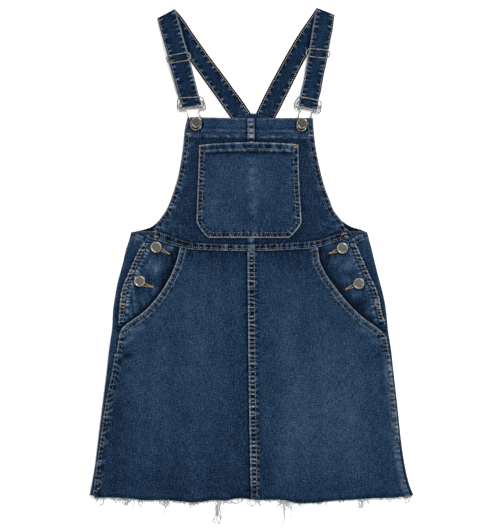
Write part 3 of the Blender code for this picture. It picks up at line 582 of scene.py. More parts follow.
def crease(x, y, x0, y0, x1, y1, width):
    """A soft ridge, 1 on its line and fading at both ends."""
    dx, dy = x1 - x0, y1 - y0
    t = np.clip(((x - x0) * dx + (y - y0) * dy) / (dx * dx + dy * dy), 0, 1)
    d = np.hypot(x - x0 - t * dx, y - y0 - t * dy)
    return bell(d, width) * (0.2 + 0.8 * smooth(4.0 * np.minimum(t, 1 - t)))


def patch(x, y, cx, cy, rx, ry, turn=0.0):
    """A soft oval patch, 1 in its middle."""
    c, s = math.cos(math.radians(turn)), math.sin(math.radians(turn))
    u, v = (x - cx) * c + (y - cy) * s, -(x - cx) * s + (y - cy) * c
    return np.exp(-((u / rx) ** 2 + (v / ry) ** 2))


def lines_across(size, fine_a, fine_b, coarse, zone=14.0, roll=True):
    """Grid lines from 0 to 1 over a width in mm, closer near its two edges."""
    s, pos = [0.0], 0.0
    if roll:
        s += [0.3, 0.8]
        pos = 0.8
    while pos < size:
        a, b = pos, size - pos
        wa = fine_a + (coarse - fine_a) * float(smooth((a - zone) / zone))
        wb = fine_b + (coarse - fine_b) * float(smooth((b - zone) / zone))
        pos += min(wa, wb)
        if pos < size - (1.2 if roll else 0.5):
            s.append(pos)
    if roll:
        s += [size - 0.8, size - 0.3]
    s.append(size)
    return np.array(s) / size


# ------------------------------------------------------------ mesh building
SCENE = bpy.context.scene
TOPS = {}
TRIANGLES = {}


def finish_mesh(name, verts, faces, tone, mat, uv=None, extra=None, flat_angle=None):
    """A closed mesh in metres with its tone at every point."""
    me = bpy.data.meshes.new(name)
    me.from_pydata((np.asarray(verts) * MM).tolist(), [], faces)
    if uv is not None:
        layer = me.uv_layers.new(name="cloth")
        idx = np.empty(len(me.loops), np.int32)
        me.loops.foreach_get("vertex_index", idx)
        layer.data.foreach_set("uv", (np.asarray(uv)[idx] * MM).astype(np.float32).ravel())
    if tone is not None:
        a = me.attributes.new("tone", "FLOAT", "POINT")
        a.data.foreach_set("value", np.asarray(tone, np.float32).ravel())
    for key, values in (extra or {}).items():
        a = me.attributes.new(key, "FLOAT", "POINT")
        a.data.foreach_set("value", np.asarray(values, np.float32).ravel())
    me.polygons.foreach_set("use_smooth", [True] * len(me.polygons))
    if flat_angle is not None:
        me.set_sharp_from_angle(angle=math.radians(flat_angle))
    me.materials.append(mat)
    me.update()
    ob = bpy.data.objects.new(name, me)
    SCENE.collection.objects.link(ob)
    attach(ob, "root")
    TRIANGLES[name] = sum(len(f) - 2 for f in faces)
    return ob


def shell(name, lower, upper, tone, mat, uv=None, keep_top=True):
    """A closed wall between two grids (rows, cols, 3) of points in mm."""
    rows, cols = lower.shape[:2]
    n = rows * cols
    verts = np.concatenate([lower.reshape(n, 3), upper.reshape(n, 3)])
    idx = np.arange(n).reshape(rows, cols)
    a, b, c, d = idx[:-1, :-1], idx[:-1, 1:], idx[1:, 1:], idx[1:, :-1]
    low = np.stack([a, b, c, d], -1).reshape(-1, 4)
    top = np.stack([a, d, c, b], -1).reshape(-1, 4) + n
    e0, e1 = idx[0, :-1], idx[0, 1:]
    s0 = np.stack([e1, e0, e0 + n, e1 + n], -1)
    e0, e1 = idx[-1, :-1], idx[-1, 1:]
    s1 = np.stack([e0, e1, e1 + n, e0 + n], -1)
    e0, e1 = idx[:-1, 0], idx[1:, 0]
    s2 = np.stack([e0, e1, e1 + n, e0 + n], -1)
    e0, e1 = idx[:-1, -1], idx[1:, -1]
    s3 = np.stack([e1, e0, e0 + n, e1 + n], -1)
    faces = np.concatenate([low, top, s0, s1, s2, s3])
    # outward test by signed volume
    p = verts[faces]
    vol = np.einsum("ij,ij->i", p[:, 0], np.cross(p[:, 1], p[:, 2])).sum()
    vol += np.einsum("ij,ij->i", p[:, 0], np.cross(p[:, 2], p[:, 3])).sum()
    flipped = vol < 0
    if flipped:
        faces = faces[:, ::-1]
    t = np.asarray(tone, float).reshape(-1)
    tone2 = np.concatenate([t, t])
    if uv is None:
        uv = upper[..., :2]
    uv2 = np.concatenate([uv.reshape(n, 2)] * 2)
    ob = finish_mesh(name, verts, faces.tolist(), tone2, mat, uv2)
    if keep_top:
        top_faces = top if not flipped else top[:, ::-1]
        TOPS[name] = BVHTree.FromPolygons(
            (verts).tolist(), top_faces.tolist(), all_triangles=False
        )
    return ob


def edge_roll(d, r=0.9):
    """How far the top drops by a rounded edge at distance d from it, 0 to 1."""
    q = np.clip(1.0 - d / r, 0.0, 1.0)
    return 1.0 - np.sqrt(1.0 - q * q * 0.98)


def on_grid(x, y, low, thick, lift, us=None, vs=None, edges=(1, 1, 1, 1), drop=0.6):
    """Lower and upper grids of a cloth wall; its edges are rounded.
    us and vs are the distances in mm from the four borders."""
    upper = low + thick + lift
    if us is not None:
        left, right, bottom, top = us[0], us[1], vs[0], vs[1]
        for flag, d in zip(edges, (left, right, bottom, top)):
            if flag:
                upper = upper - drop * thick * edge_roll(d)
    lower = np.stack([x, y, low], -1)
    return lower, np.stack([x, y, np.maximum(upper, low + 0.25)], -1)


def height(name, x, y, default=None):
    """Top of a piece at (x, y) in mm."""
    hit = TOPS[name].ray_cast(Vector((x, y, 60.0)), Vector((0, 0, -1)))
    return hit[0].z if hit[0] is not None else default


def borders(x, y):
    """Distances in mm of every grid point from the grid's four borders."""
    du = np.hypot(np.diff(x, axis=1), np.diff(y, axis=1))
    dv = np.hypot(np.diff(x, axis=0), np.diff(y, axis=0))
    left = np.concatenate([np.zeros((x.shape[0], 1)), np.cumsum(du, 1)], 1)
    right = left[:, -1:] - left
    low = np.concatenate([np.zeros((1, x.shape[1])), np.cumsum(dv, 0)], 0)
    high = low[-1:, :] - low
    return (left, right), (low, high)


# --------------------------------------------------------------- materials
# The palette of the dye and of the light and shade painted on the denim: brightness (0 to 1) and colour (8 bit display
# values).
DYE_AND_SHADE = (
    (0.000, (2, 6, 16)),
    (0.050, (3, 12, 26)),
    (0.105, (8, 22, 41)),
    (0.155, (14, 32, 55)),
    (0.205, (20, 42, 68)),
    (0.250, (28, 52, 79)),
    (0.300, (38, 62, 90)),
    (0.350, (48, 72, 99)),
    (0.410, (61, 83, 109)),
    (0.485, (79, 98, 119)),
    (0.560, (96, 114, 132)),
    (0.645, (116, 132, 147)),
    (0.745, (139, 151, 162)),
    (0.880, (168, 177, 185)),
    (1.000, (206, 210, 213)),
)


def linear(c):
    c = c / 255.0
    return c / 12.92 if c <= 0.04045 else ((c + 0.055) / 1.055) ** 2.4


def albedo(rgb, scale=1.0):
    return tuple(min(0.95, linear(v) / LIGHT * scale) for v in rgb) + (1.0,)


class Nodes:
    """Small helper to wire a node material."""

    def __init__(self, name):
        self.mat = bpy.data.materials.new(name)
        self.mat.use_nodes = True
        self.tree = self.mat.node_tree
        self.bsdf = self.tree.nodes["Principled BSDF"]

    def new(self, kind, **inputs):
        node = self.tree.nodes.new(kind)
        for key, value in inputs.items():
            setattr(node, key, value)
        return node

    def link(self, a, b):
        self.tree.links.new(a, b)

    def value(self, node_or_socket, socket, target):
        target.inputs[socket].default_value = node_or_socket

    def math(self, op, a, b=None, c=None, clamp=False):
        n = self.tree.nodes.new("ShaderNodeMath")
        n.operation = op
        n.use_clamp = clamp
        for i, v in enumerate((a, b, c)):
            if v is None:
                continue
            if isinstance(v, (int, float)):
                n.inputs[i].default_value = v
            else:
                self.link(v, n.inputs[i])
        return n.outputs[0]

    def noise(self, vector, scale, detail=2.0, rough=0.5, stretch=(1, 1, 1), move=(0, 0, 0)):
        m = self.tree.nodes.new("ShaderNodeMapping")
        m.inputs["Scale"].default_value = tuple(scale * s for s in stretch)
        m.inputs["Location"].default_value = move
        self.link(vector, m.inputs["Vector"])
        n = self.tree.nodes.new("ShaderNodeTexNoise")
        n.inputs["Scale"].default_value = 1.0
        n.inputs["Detail"].default_value = detail
        n.inputs["Roughness"].default_value = rough
        self.link(m.outputs[0], n.inputs["Vector"])
        return n.outputs["Fac"]

    def ramp(self, fac, stops):
        r = self.tree.nodes.new("ShaderNodeValToRGB")
        e = r.color_ramp.elements
        e[0].position, e[0].color = stops[0]
        e[1].position, e[1].color = stops[-1]
        for pos, col in stops[1:-1]:
            s = e.new(pos)
            s.color = col
        self.link(fac, r.inputs[0])
        return r.outputs[0]


def denim(name, streak=1.0, grain=1.0):
    """Indigo twill: warp slubs along v, finer weft slubs across, a diagonal
    twill line, and the palette of dye and of painted light and shade, by the cloth's tone."""
    m = Nodes(name)
    uv = m.new("ShaderNodeUVMap")
    uv.uv_map = "cloth"
    vec = uv.outputs[0]
    tone = m.new("ShaderNodeAttribute", attribute_name="tone").outputs["Fac"]
    warp = m.noise(vec, 1.0, 2.0, 0.6, stretch=(600, 100, 1))
    weft = m.noise(vec, 1.0, 2.0, 0.6, stretch=(130, 560, 1), move=(3.1, 7.7, 0))
    speck = m.noise(vec, 600.0, 1.5, 0.6, move=(11.0, 5.0, 0))
    fleck = m.noise(vec, 1.0, 1.0, 0.5, stretch=(640, 420, 1), move=(21.0, 2.0, 0))
    blotch = m.noise(vec, 46.0, 3.0, 0.6, move=(1.7, 9.2, 0))
    v = m.math("MULTIPLY_ADD", m.math("SUBTRACT", warp, 0.5), 0.34 * streak, tone)
    v = m.math("MULTIPLY_ADD", m.math("SUBTRACT", weft, 0.5), 0.18 * streak, v)
    v = m.math("MULTIPLY_ADD", m.math("SUBTRACT", speck, 0.5), 0.74 * grain, v)
    v = m.math("MULTIPLY_ADD", m.math("SUBTRACT", blotch, 0.5), 0.10, v)
    # undyed specks of the white weft that show through
    v = m.math("MULTIPLY_ADD", m.math("SUBTRACT", fleck, 0.58, clamp=True), 0.60 * grain, v)
    # twill: fine diagonal ribs, about 0.85 mm apart
    rot = m.new("ShaderNodeMapping")
    rot.inputs["Rotation"].default_value = (0, 0, math.radians(63))
    m.link(vec, rot.inputs["Vector"])
    wave = m.new("ShaderNodeTexWave", wave_type="BANDS", bands_direction="X", wave_profile="SIN")
    wave.inputs["Scale"].default_value = 190.0
    wave.inputs["Distortion"].default_value = 1.2
    wave.inputs["Detail"].default_value = 1.0
    wave.inputs["Detail Scale"].default_value = 2.0
    m.link(rot.outputs[0], wave.inputs["Vector"])
    v = m.math("MULTIPLY_ADD", m.math("SUBTRACT", wave.outputs["Fac"], 0.5), 0.05, v, clamp=True)
    colour = m.ramp(v, [(p, albedo(c)) for p, c in DYE_AND_SHADE])
    m.link(colour, m.bsdf.inputs["Base Color"])
    m.bsdf.inputs["Roughness"].default_value = 0.9
    m.bsdf.inputs["Specular IOR Level"].default_value = 0.05
    m.bsdf.inputs["Sheen Weight"].default_value = 0.02
    m.bsdf.inputs["Sheen Roughness"].default_value = 0.5
    height_sum = m.math("MULTIPLY_ADD", wave.outputs["Fac"], 0.6, m.math("MULTIPLY", speck, 0.8))
    bump = m.new("ShaderNodeBump")
    bump.inputs["Strength"].default_value = 0.4
    bump.inputs["Distance"].default_value = 0.0003
    m.link(height_sum, bump.inputs["Height"])
    m.link(bump.outputs[0], m.bsdf.inputs["Normal"])
    return m.mat


def thread(name, stops, rough=0.7, noise=0.25):
    """Sewing or warp yarn: colour from each piece's tone, which on the needle's pits is painted shade."""
    m = Nodes(name)
    tone = m.new("ShaderNodeAttribute", attribute_name="tone").outputs["Fac"]
    obj = m.new("ShaderNodeTexCoord").outputs["Object"]
    n = m.noise(obj, 900.0, 2.0, 0.5)
    v = m.math("MULTIPLY_ADD", m.math("SUBTRACT", n, 0.5), noise, tone, clamp=True)
    m.link(m.ramp(v, [(p, albedo(c)) for p, c in stops]), m.bsdf.inputs["Base Color"])
    m.bsdf.inputs["Roughness"].default_value = rough
    m.bsdf.inputs["Specular IOR Level"].default_value = 0.25
    twist = m.new("ShaderNodeTexWave", wave_type="BANDS", bands_direction="DIAGONAL")
    twist.inputs["Scale"].default_value = 900.0
    m.link(obj, twist.inputs["Vector"])
    bump = m.new("ShaderNodeBump")
    bump.inputs["Strength"].default_value = 0.25
    bump.inputs["Distance"].default_value = 0.0002
    m.link(twist.outputs["Fac"], bump.inputs["Height"])
    m.link(bump.outputs[0], m.bsdf.inputs["Normal"])
    return m.mat


def metal(name, dark, light, rough=0.32, metallic=1.0, scale=260.0, darker_below=None):
    """Plated wire or cap, a little tarnished, in two close colours. The hooks'
    loops, below a given height on the garment, are darker."""
    m = Nodes(name)
    obj = m.new("ShaderNodeTexCoord").outputs["Object"]
    n = m.noise(obj, scale, 3.0, 0.6)
    shade = m.ramp(n, [(0.3, (*dark, 1.0)), (0.7, (*light, 1.0))])
    if darker_below is not None:
        split = m.new("ShaderNodeSeparateXYZ")
        m.link(obj, split.inputs[0])
        f = m.math("MULTIPLY_ADD", split.outputs["Y"], 120.0, 0.22 - 120.0 * darker_below)
        f = m.math("MAXIMUM", m.math("MINIMUM", f, 1.0), 0.22)
        scaled = m.new("ShaderNodeVectorMath", operation="SCALE")
        m.link(shade, scaled.inputs[0])
        m.link(f, scaled.inputs["Scale"])
        shade = scaled.outputs[0]
    m.link(shade, m.bsdf.inputs["Base Color"])
    m.bsdf.inputs["Metallic"].default_value = metallic
    r = m.math("MULTIPLY_ADD", m.noise(obj, 900.0, 2.0, 0.6, move=(4, 4, 4)), 0.25, rough - 0.12)
    m.link(r, m.bsdf.inputs["Roughness"])
    bump = m.new("ShaderNodeBump")
    bump.inputs["Strength"].default_value = 0.12
    bump.inputs["Distance"].default_value = 0.0002
    m.link(m.noise(obj, 1400.0, 2.0, 0.6), bump.inputs["Height"])
    m.link(bump.outputs[0], m.bsdf.inputs["Normal"])
    return m.mat


DENIM_BIB = denim("denim_bib")
DENIM_POCKET = denim("denim_pocket")
DENIM_SKIRT = denim("denim_skirt")
DENIM_HIP = denim("denim_hip")
DENIM_SEAM = denim("denim_seam", streak=0.6, grain=0.8)
DENIM_STRAP = denim("denim_strap", streak=0.8, grain=0.7)
# thread for the stitching; its darkest colour is also the painted shade in the needle's pits
TOPSTITCH_AND_PIT_SHADE = thread("topstitch_and_pit_shade", (
    (0.0, (33, 31, 33)), (0.35, (98, 90, 82)), (0.65, (166, 156, 140)), (1.0, (242, 232, 214))))
TACK = thread("bar_tack", (
    (0.0, (86, 66, 44)), (0.5, (160, 130, 90)), (1.0, (212, 188, 146))))
YARN = thread("frayed_yarn", (
    (0.0, (40, 58, 82)), (0.30, (130, 142, 152)), (0.65, (184, 191, 196)), (1.0, (228, 231, 233))), 0.85, 0.15)
NICKEL = metal("nickel_wire", (0.10, 0.098, 0.094), (0.44, 0.43, 0.41), 0.22, darker_below=0.219)
KNURL = metal("nickel_knurl", (0.016, 0.015, 0.014), (0.44, 0.42, 0.39), 0.22, 1.0, 340.0)
BIB_RIM = metal("bib_button_rim", (0.045, 0.041, 0.035), (0.42, 0.395, 0.35), 0.26)
BIB_FACE = metal("bib_button_face", (0.040, 0.036, 0.030), (0.066, 0.060, 0.050), 0.55, 0.5, 700.0)
SIDE_RIM = metal("side_button_rim", (0.07, 0.065, 0.055), (0.58, 0.545, 0.49), 0.30, 1.0, 420.0)
SIDE_FACE = metal("side_button_face", (0.070, 0.065, 0.058), (0.108, 0.100, 0.088), 0.58, 0.45, 700.0)


# ------------------------------------------------ relief and lines shared by the seams
def strip_relief(r, c, rows=0.72, rise=0.55):
    inner = smooth((1.0 - np.abs(c)) / 0.25)
    return rise * (r - 0.4) * inner - 0.28 * bell(np.abs(c) - rows, 0.16)


def bib_side(side):
    """The bib's side edge as cut, from the waist seam up."""
    v = np.linspace(0.0, 1.0, 64)
    x = at(FRONT_EDGE, side, mix(47.0, 222.5, v))
    return np.stack([x, mix(waist_mid(x) + GAP / 2, bib_top(x), v)], axis=1)


# The seams as lines, each running upwards.
LEFT_SIDE = edge_line(BODY, "seam_left", -350, -100)
RIGHT_SIDE = edge_line(BODY, "seam_right", -350, -100)
OPEN_LEFT = edge_line(OPENING, "left", -97, 30)
OPEN_RIGHT = edge_line(OPENING, "right", -97, 30)
ARM_LEFT = bib_side("left")
ARM_RIGHT = bib_side("right")
PLACKET_LEFT = edge_line(FRONT_EDGE, "left", -102, 50)
PLACKET_RIGHT = edge_line(FRONT_EDGE, "right", -102, 50)
SIDE_TOP = {
    "left": edge_line(OPENING, "left", -136, -98),
    "right": edge_line(OPENING, "right", -136, -98),
}


def declare(replaces=None):
    if replaces:
        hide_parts(*replaces)


# ------------------------------------------------------------------ pieces
def back_skirt():
    """The back: flat underneath, turned up and over at both sides."""
    ys = np.concatenate([
        CORNER_Y - np.array([0.0, 0.3, 0.8]),
        np.linspace(CORNER_Y - 2.0, -10, 42),
        np.linspace(-13, BACK_HEM_Y + 3, 105),
        [BACK_HEM_Y + 0.8, BACK_HEM_Y + 0.3, BACK_HEM_Y],
    ])
    lower, upper, tone, uv = [], [], [], []
    ret = np.array([0.0, 0.02, 0.06, 0.14, 0.24, 0.34, 0.44, 0.54, 0.64, 0.74, 0.84, 0.92])
    mid = np.linspace(0, 1, 58)[1:-1]
    arc = np.linspace(0, 1, 11)
    for y in ys:
        left, right = float(at(BODY, "left", y)), float(at(BODY, "right", y))
        top = float(at(BODY, "fold", y))
        r_out = top / 2
        r_in = r_out - CLOTH
        end_l, end_r = float(at(BODY, "seam_left", y)), float(at(BODY, "seam_right", y))
        fall = 0.42 * float(smooth((y - 8.0) / (CORNER_Y - 8.0)))
        o, n, t, w = [], [], [], []
        # slow waves in the turned sides
        for q in ret:
            x = mix(end_l, left + r_out, q)
            yy = y - fall * (x - left)
            o.append((x, yy, top))
            n.append((x, yy, top - CLOTH))
            w.append(x - end_l)
        for k in arc:
            a = math.pi * (0.5 + k)
            o.append((left + r_out + r_out * math.cos(a), y, r_out + r_out * math.sin(a)))
            n.append((left + r_out + r_in * math.cos(a), y, r_out + r_in * math.sin(a)))
        for k in mid:
            x = mix(left + r_out, right - r_out, k)
            o.append((x, y, 0.0))
            n.append((x, y, CLOTH))
        for k in arc:
            a = math.pi * (-0.5 + k)
            o.append((right - r_out + r_out * math.cos(a), y, r_out + r_out * math.sin(a)))
            n.append((right - r_out + r_in * math.cos(a), y, r_out + r_in * math.sin(a)))
        for q in ret[::-1]:
            x = mix(end_r, right - r_out, q)
            yy = y - fall * (right - x)
            o.append((x, yy, top))
            n.append((x, yy, top - CLOTH))
        lower.append(o)
        upper.append(n)
    lower, upper = np.array(lower), np.array(upper)
    x, y, z = lower[..., 0], lower[..., 1], lower[..., 2]
    up = z > 2.9                                  # the turned-over sides
    leftish = x < 0
    # hem along the slanting top of each turned corner
    d_top = (ys[0] - ys)[:, None] + 0.0 * x
    s_top = np.where(leftish, x - at(BODY, "left", y), at(BODY, "right", y) - x)
    hem = (1 - smooth((d_top - 8.6) / 1.6)) * up
    r = pleats(s_top, np.clip(d_top / 9.0 - 0.5, -1, 1), 5.6, 31.0, slant=0.7, duty=0.5)
    t = 0.235 + 0.03 * vnoise(x / 22, y / 30, 3) + 0.025 * vnoise(x / 7, y / 26, 4)
    t = mix(t, mix(0.14, 0.46, r), hem) + 0.18 * bell(d_top, 1.4) * up
    t = t + 0.12 * (pleats(s_top, d_top / 14, 7.5, 37.0, slant=0.5) - 0.4) * bell(d_top - 10, 7.0) * up
    # the band along the fold is a little paler; painted shade darkens it beside the front's edge and beside the side
    # seam
    fold_d = np.minimum(x - at(BODY, "left", y), at(BODY, "right", y) - x)
    t = t + 0.10 * bell(fold_d, 2.0)
    edge_d = np.where(leftish, at(FRONT_EDGE, "left", y) - x, x - at(FRONT_EDGE, "right", y))
    t = t - 0.10 * bell(edge_d, 3.5) * (y > -100) * up
    seam_d = np.where(leftish, at(BODY, "seam_left", y) - x, x - at(BODY, "seam_right", y))
    t = t - 0.10 * bell(seam_d, 3.0) * (y < -100) * up
    t = np.where(y < -330, t + 0.05 * vnoise(x / 5, y / 9, 8), t)
    # in shadow by the top of the placket
    t = t - 0.14 * (patch(x, y, -157.0, 36.0, 9.0, 5.0, -24.0) + patch(x, y, 157.0, 36.0, 9.0, 5.0, 24.0)) * up
    wave = 0.35 * vnoise(x / 14, y / 34, 5) + 0.25 * vnoise(x / 9, y / 15, 6)
    swell = np.where(up, wave + hem * 0.8 * (r - 0.4) - 0.25 * bell(d_top - 8.0, 0.8), 0.0)
    fade = smooth((z - 2.6) / 0.4)
    lower[..., 2] = z + swell * fade
    uv = np.stack([np.cumsum(np.concatenate([np.zeros((len(ys), 1)),
                   np.linalg.norm(np.diff(lower, axis=1), axis=2)], 1), 1), y], -1)
    ob = shell("back_skirt_cloth", lower, upper, t, DENIM_SKIRT, uv)
    verts = np.concatenate([lower.reshape(-1, 3), upper.reshape(-1, 3)])
    TOPS["back_skirt_cloth"] = BVHTree.FromPolygons(verts.tolist(), [tuple(p.vertices) for p in ob.data.polygons])
    # only its outer side shows: stitch rows drop on that
    declare(["back_skirt"])


def back_bib():
    ys = np.concatenate([[CORNER_Y + GAP, CORNER_Y + GAP + 0.4], np.linspace(53.2, 228.2, 118), [228.7, 229.0]])
    u = lines_across(200.0, 1.4, 1.4, 6.0, 12.0)
    left, right = at(BACK_BIB, "left", ys), at(BACK_BIB, "right", ys)
    x = mix(left[:, None], right[:, None], u[None, :])
    y = np.repeat(ys[:, None], len(u), 1)
    low = (STRAP + GAP) * smooth((y - 182.0) / 22.0)
    us, vs = borders(x, y)
    edge = np.minimum(us[0], us[1])
    r = pleats(y + 0.4 * x, np.clip(edge / 8 - 0.5, -1, 1), 6.0, 41.0, slant=0.8)
    hemmed = 1 - smooth((edge - 8.0) / 2.0)
    t = 0.17 + 0.03 * vnoise(x / 20, y / 25, 2)
    t = mix(t, mix(0.10, 0.40, r), hemmed) + 0.14 * bell(edge, 1.3)
    t = t + 0.12 * bell(vs[1], 1.6) * (y > 220)
    # the lower corners lie in the shade of the front
    t = mix(t, 0.045, 0.85 * smooth((79.0 - y) / 16.0) * smooth((edge - 1.4) / 1.6))
    relief = hemmed * 0.4 * (r - 0.4) * (np.abs(x) > 100)
    lower, upper = on_grid(x, y, low, CLOTH, relief, us, vs, (1, 1, 0, 1))
    ob = shell("back_bib_cloth", lower, upper, t, DENIM_BIB)
    declare(["back_bib"])


def bib_half(side):
    sign = -1.0 if side == "left" else 1.0
    v = np.concatenate([[0.0, 0.004], np.linspace(0.014, 0.988, 128), [0.9955, 0.9985, 1.0]])
    u = lines_across(105.0, 1.0, 1.5, 2.2, 12.0)
    y0 = mix(47.0, 222.5, v)[:, None]
    edge = at(FRONT_EDGE, side, y0)
    seam = at(CENTRE, "x", y0) + (-GAP / 2 if side == "left" else GAP / 2)
    x = mix(edge, seam, u[None, :])
    y = mix(waist_mid(x) + GAP / 2, bib_top(x), v[:, None])
    low = front_low(x, y)
    us, vs = borders(x, y)
    arm = ARM_LEFT if side == "left" else ARM_RIGHT
    s, d = near(arm, x, y)
    d = np.abs(d)
    hem_y = HEM_ROW(x)
    # side hem, 8.6 mm wide and double stitched
    c = np.clip(d / 4.3 - 1.0, -1, 1.6)
    r = pleats(s, c, 6.6, 11.0 if side == "left" else 13.0, slant=0.4, duty=0.52, low=0.55, soft=0.12)
    inside = 1 - smooth((d - 8.2) / 1.0)
    h = y - hem_y
    top_band = smooth(h / 1.2)
    t = 0.206 + 0.016 * vnoise(x / 24, y / 30, 5) + 0.022 * vnoise(x / 60, y / 70, 7) + 0.014 * vnoise(x / 6, y / 40, 8)
    t = t - 0.02 * smooth((90 - y) / 60)
    bright, dull = (1.0, 1.0) if side == "left" else (1.25, 0.78)
    hemmed = gathered(d, r, (
        (0.0, 0.28 * bright, 0.54 * bright), (1.4, 0.20, 0.50), (2.6, 0.08, 0.52), (4.6, 0.03, 0.58 * dull),
        (6.4, 0.05, 0.46 * dull), (7.8, 0.12, 0.42 * dull), (9.2, 0.20, 0.40), (10.6, 0.23, 0.36), (12.4, 0.20, 0.28),
        (14.5, 0.195, 0.21)))
    t = mix(t, hemmed, (1 - smooth((d - 10.4) / 3.0)) * (1 - 0.65 * top_band))
    # top hem, two layers: a pale welt, a stitched hollow darkened by painted shade, a pale ridge, and painted shadow
    # below the ridge
    t = t + top_band * (0.042 + 0.026 * vnoise(x / 15, y / 7, 25) + 0.02 * vnoise(x / 5, y / 2.4, 26))
    wander = h + 0.7 * vnoise(x / 17, 0 * y, 22)
    welt = 0.6 + 0.7 * vnoise(x / 5.5, h / 4, 21)
    ridge = 0.6 + 0.9 * vnoise(x / 4.2, h / 4, 27)
    t = t + (0.17 if side == "left" else 0.24) * bell(wander - 6.3, 1.5) * welt - 0.065 * bell(h - 9.6, 1.8)
    t = t - 0.05 * bell(wander - 3.4, 1.5) * welt
    t = t - 0.02 * bell(h - 2.0, 2.2) + 0.26 * bell(wander + 2.7, 1.6) * ridge
    t = t - 0.055 * bell(h + 6.4, 2.2) - 0.025 * bell(h + 10.0, 4.0)
    ripple = np.clip(welt, 0, 1)
    over = bell(wander - 6.3, 1.8) + 0.8 * bell(wander + 2.7, 1.8)
    # rubbed top edge
    t = t + 0.27 * bell(vs[1] - 0.5, 1.0) * (0.7 + 0.5 * vnoise(x / 5, 0 * y, 28))
    # painted shade beside the pocket's edge, beside the centre seam and just above the waist, where puckers run up from
    # it
    pd = pocket_distance(x, y)
    t = t - 0.10 * bell(pd, 2.2) - 0.03 * bell(pd, 7.0)
    cd = np.abs(x - at(CENTRE, "x", y)) - at(CENTRE, "half", y)
    t = mix(t, 0.02, bell(cd - 0.4, 1.1) * (y > 178)) - 0.05 * bell(cd - 2.0, 2.0)
    wd = y - at(WAIST, "high", x)
    rw = pleats(x, np.clip(wd / 8, 0, 1), 8.5, 19.0, slant=0.6, duty=0.4, soft=0.2)
    t = t - 0.07 * bell(wd, 2.0) + 0.13 * (rw - 0.3) * bell(wd - 2.0, 6.0) * (0.5 + 0.5 * vnoise(x / 20, 0 * y, 29))
    # pulls where the armhole meets the waist
    corner_d = np.hypot((np.abs(x) - 128.0) / 34.0, (y - 56.0) / 20.0)
    t = t + (0.09 * vnoise(x / 5 + y / 7, y / 4 - x / 11, 30) + 0.02) * (1 - smooth((corner_d - 0.5) / 0.7))
    # painted shadow: a dark halo on the cloth round and below each bib button
    for b in BIB_BUTTONS:
        ring = np.maximum(np.hypot(x - b.x - 0.4, y - b.y + 2.8) - 9.6, 0)
        t = mix(t, 0.0, 0.85 * bell(ring, 1.7))
    # folds that run down to the side corners, with painted light on their ridges and painted shade in their troughs
    for x0, ya, x1, yb, w, h, tn in BIB_CREASES[side]:
        t = t + tn * crease(x, y, x0, ya, x1, yb, w)
    relief = 0.30 * vnoise(x / 34, y / 46, 9) * smooth(d / 20)
    relief = relief + strip_relief(r, c, 0.66, 0.7) * inside * (1 - 0.6 * top_band)
    relief = relief + 0.22 * inside
    relief = relief + top_band * 0.25 + 0.5 * over * (ripple - 0.2)
    relief = relief + 0.4 * vnoise(x / 5 + y / 7, y / 4 - x / 11, 30) * (1 - smooth((corner_d - 0.5) / 0.7))
    relief = relief - 0.22 * bell(y - hem_y, 0.9)
    for x0, ya, x1, yb, w, h, tn in BIB_CREASES[side]:
        relief = relief + h * crease(x, y, x0, ya, x1, yb, w)
    under = smooth((5.9 - (np.abs(x - at(CENTRE, "x", y)))) / 0.6)
    under = np.maximum(under, smooth((2.0 - pd) / 1.5) * (pocket_inside(x, y) > 0))
    under = np.maximum(under, smooth((-wd + 0.6) / 1.2))
    relief = mix(relief, np.minimum(relief, 0.05), under)
    flags = (1, 0, 0, 1)
    lower, upper = on_grid(x, y, low, CLOTH, relief, us, vs, flags)
    name = f"bib_{side}_cloth"
    ob = shell(name, lower, upper, t, DENIM_BIB)
    declare([f"bib_{side}"])


def HEM_ROW(x):
    """Height of the bib's top hem stitch row."""
    return 198.4 - 1.6 * smooth((x + 95) / 95) - 1.0 * smooth(x / 92)


def pocket_outline():
    left = [(row.left, row.y) for row in POCKET[::-1]]
    right = [(row.right, row.y) for row in POCKET]
    x0, x1 = POCKET[-1].right, POCKET[-1].left
    top = [(x, 181.5 + 4.0 * (1.0 - (x / 80.0) ** 2)) for x in np.linspace(x0, x1, 24)]
    return broken(left + right, 3.0), np.array(top)


POCKET_SIDES, POCKET_TOP = pocket_outline()
POCKET_LOOP = np.concatenate([POCKET_SIDES, POCKET_TOP[1:]])


def pocket_inside(x, y):
    """1 inside the pocket's outline and -1 outside."""
    arch = 4.0 * (1.0 - (np.clip(x, -80, 80) / 80.0) ** 2)
    ok = (y > POCKET[0].y) & (y < 181.5 + arch)
    yy = np.clip(y, POCKET[0].y, 181.5)
    ok &= (x > at(POCKET, "left", yy)) & (x < at(POCKET, "right", yy))
    return np.where(ok, 1.0, -1.0)


def pocket_distance(x, y):
    """Distance outside the pocket's outline, and large inside it."""
    d = np.abs(near(POCKET_LOOP[::2], x, y)[1])
    return np.where(pocket_inside(x, y) > 0, 99.0, d)
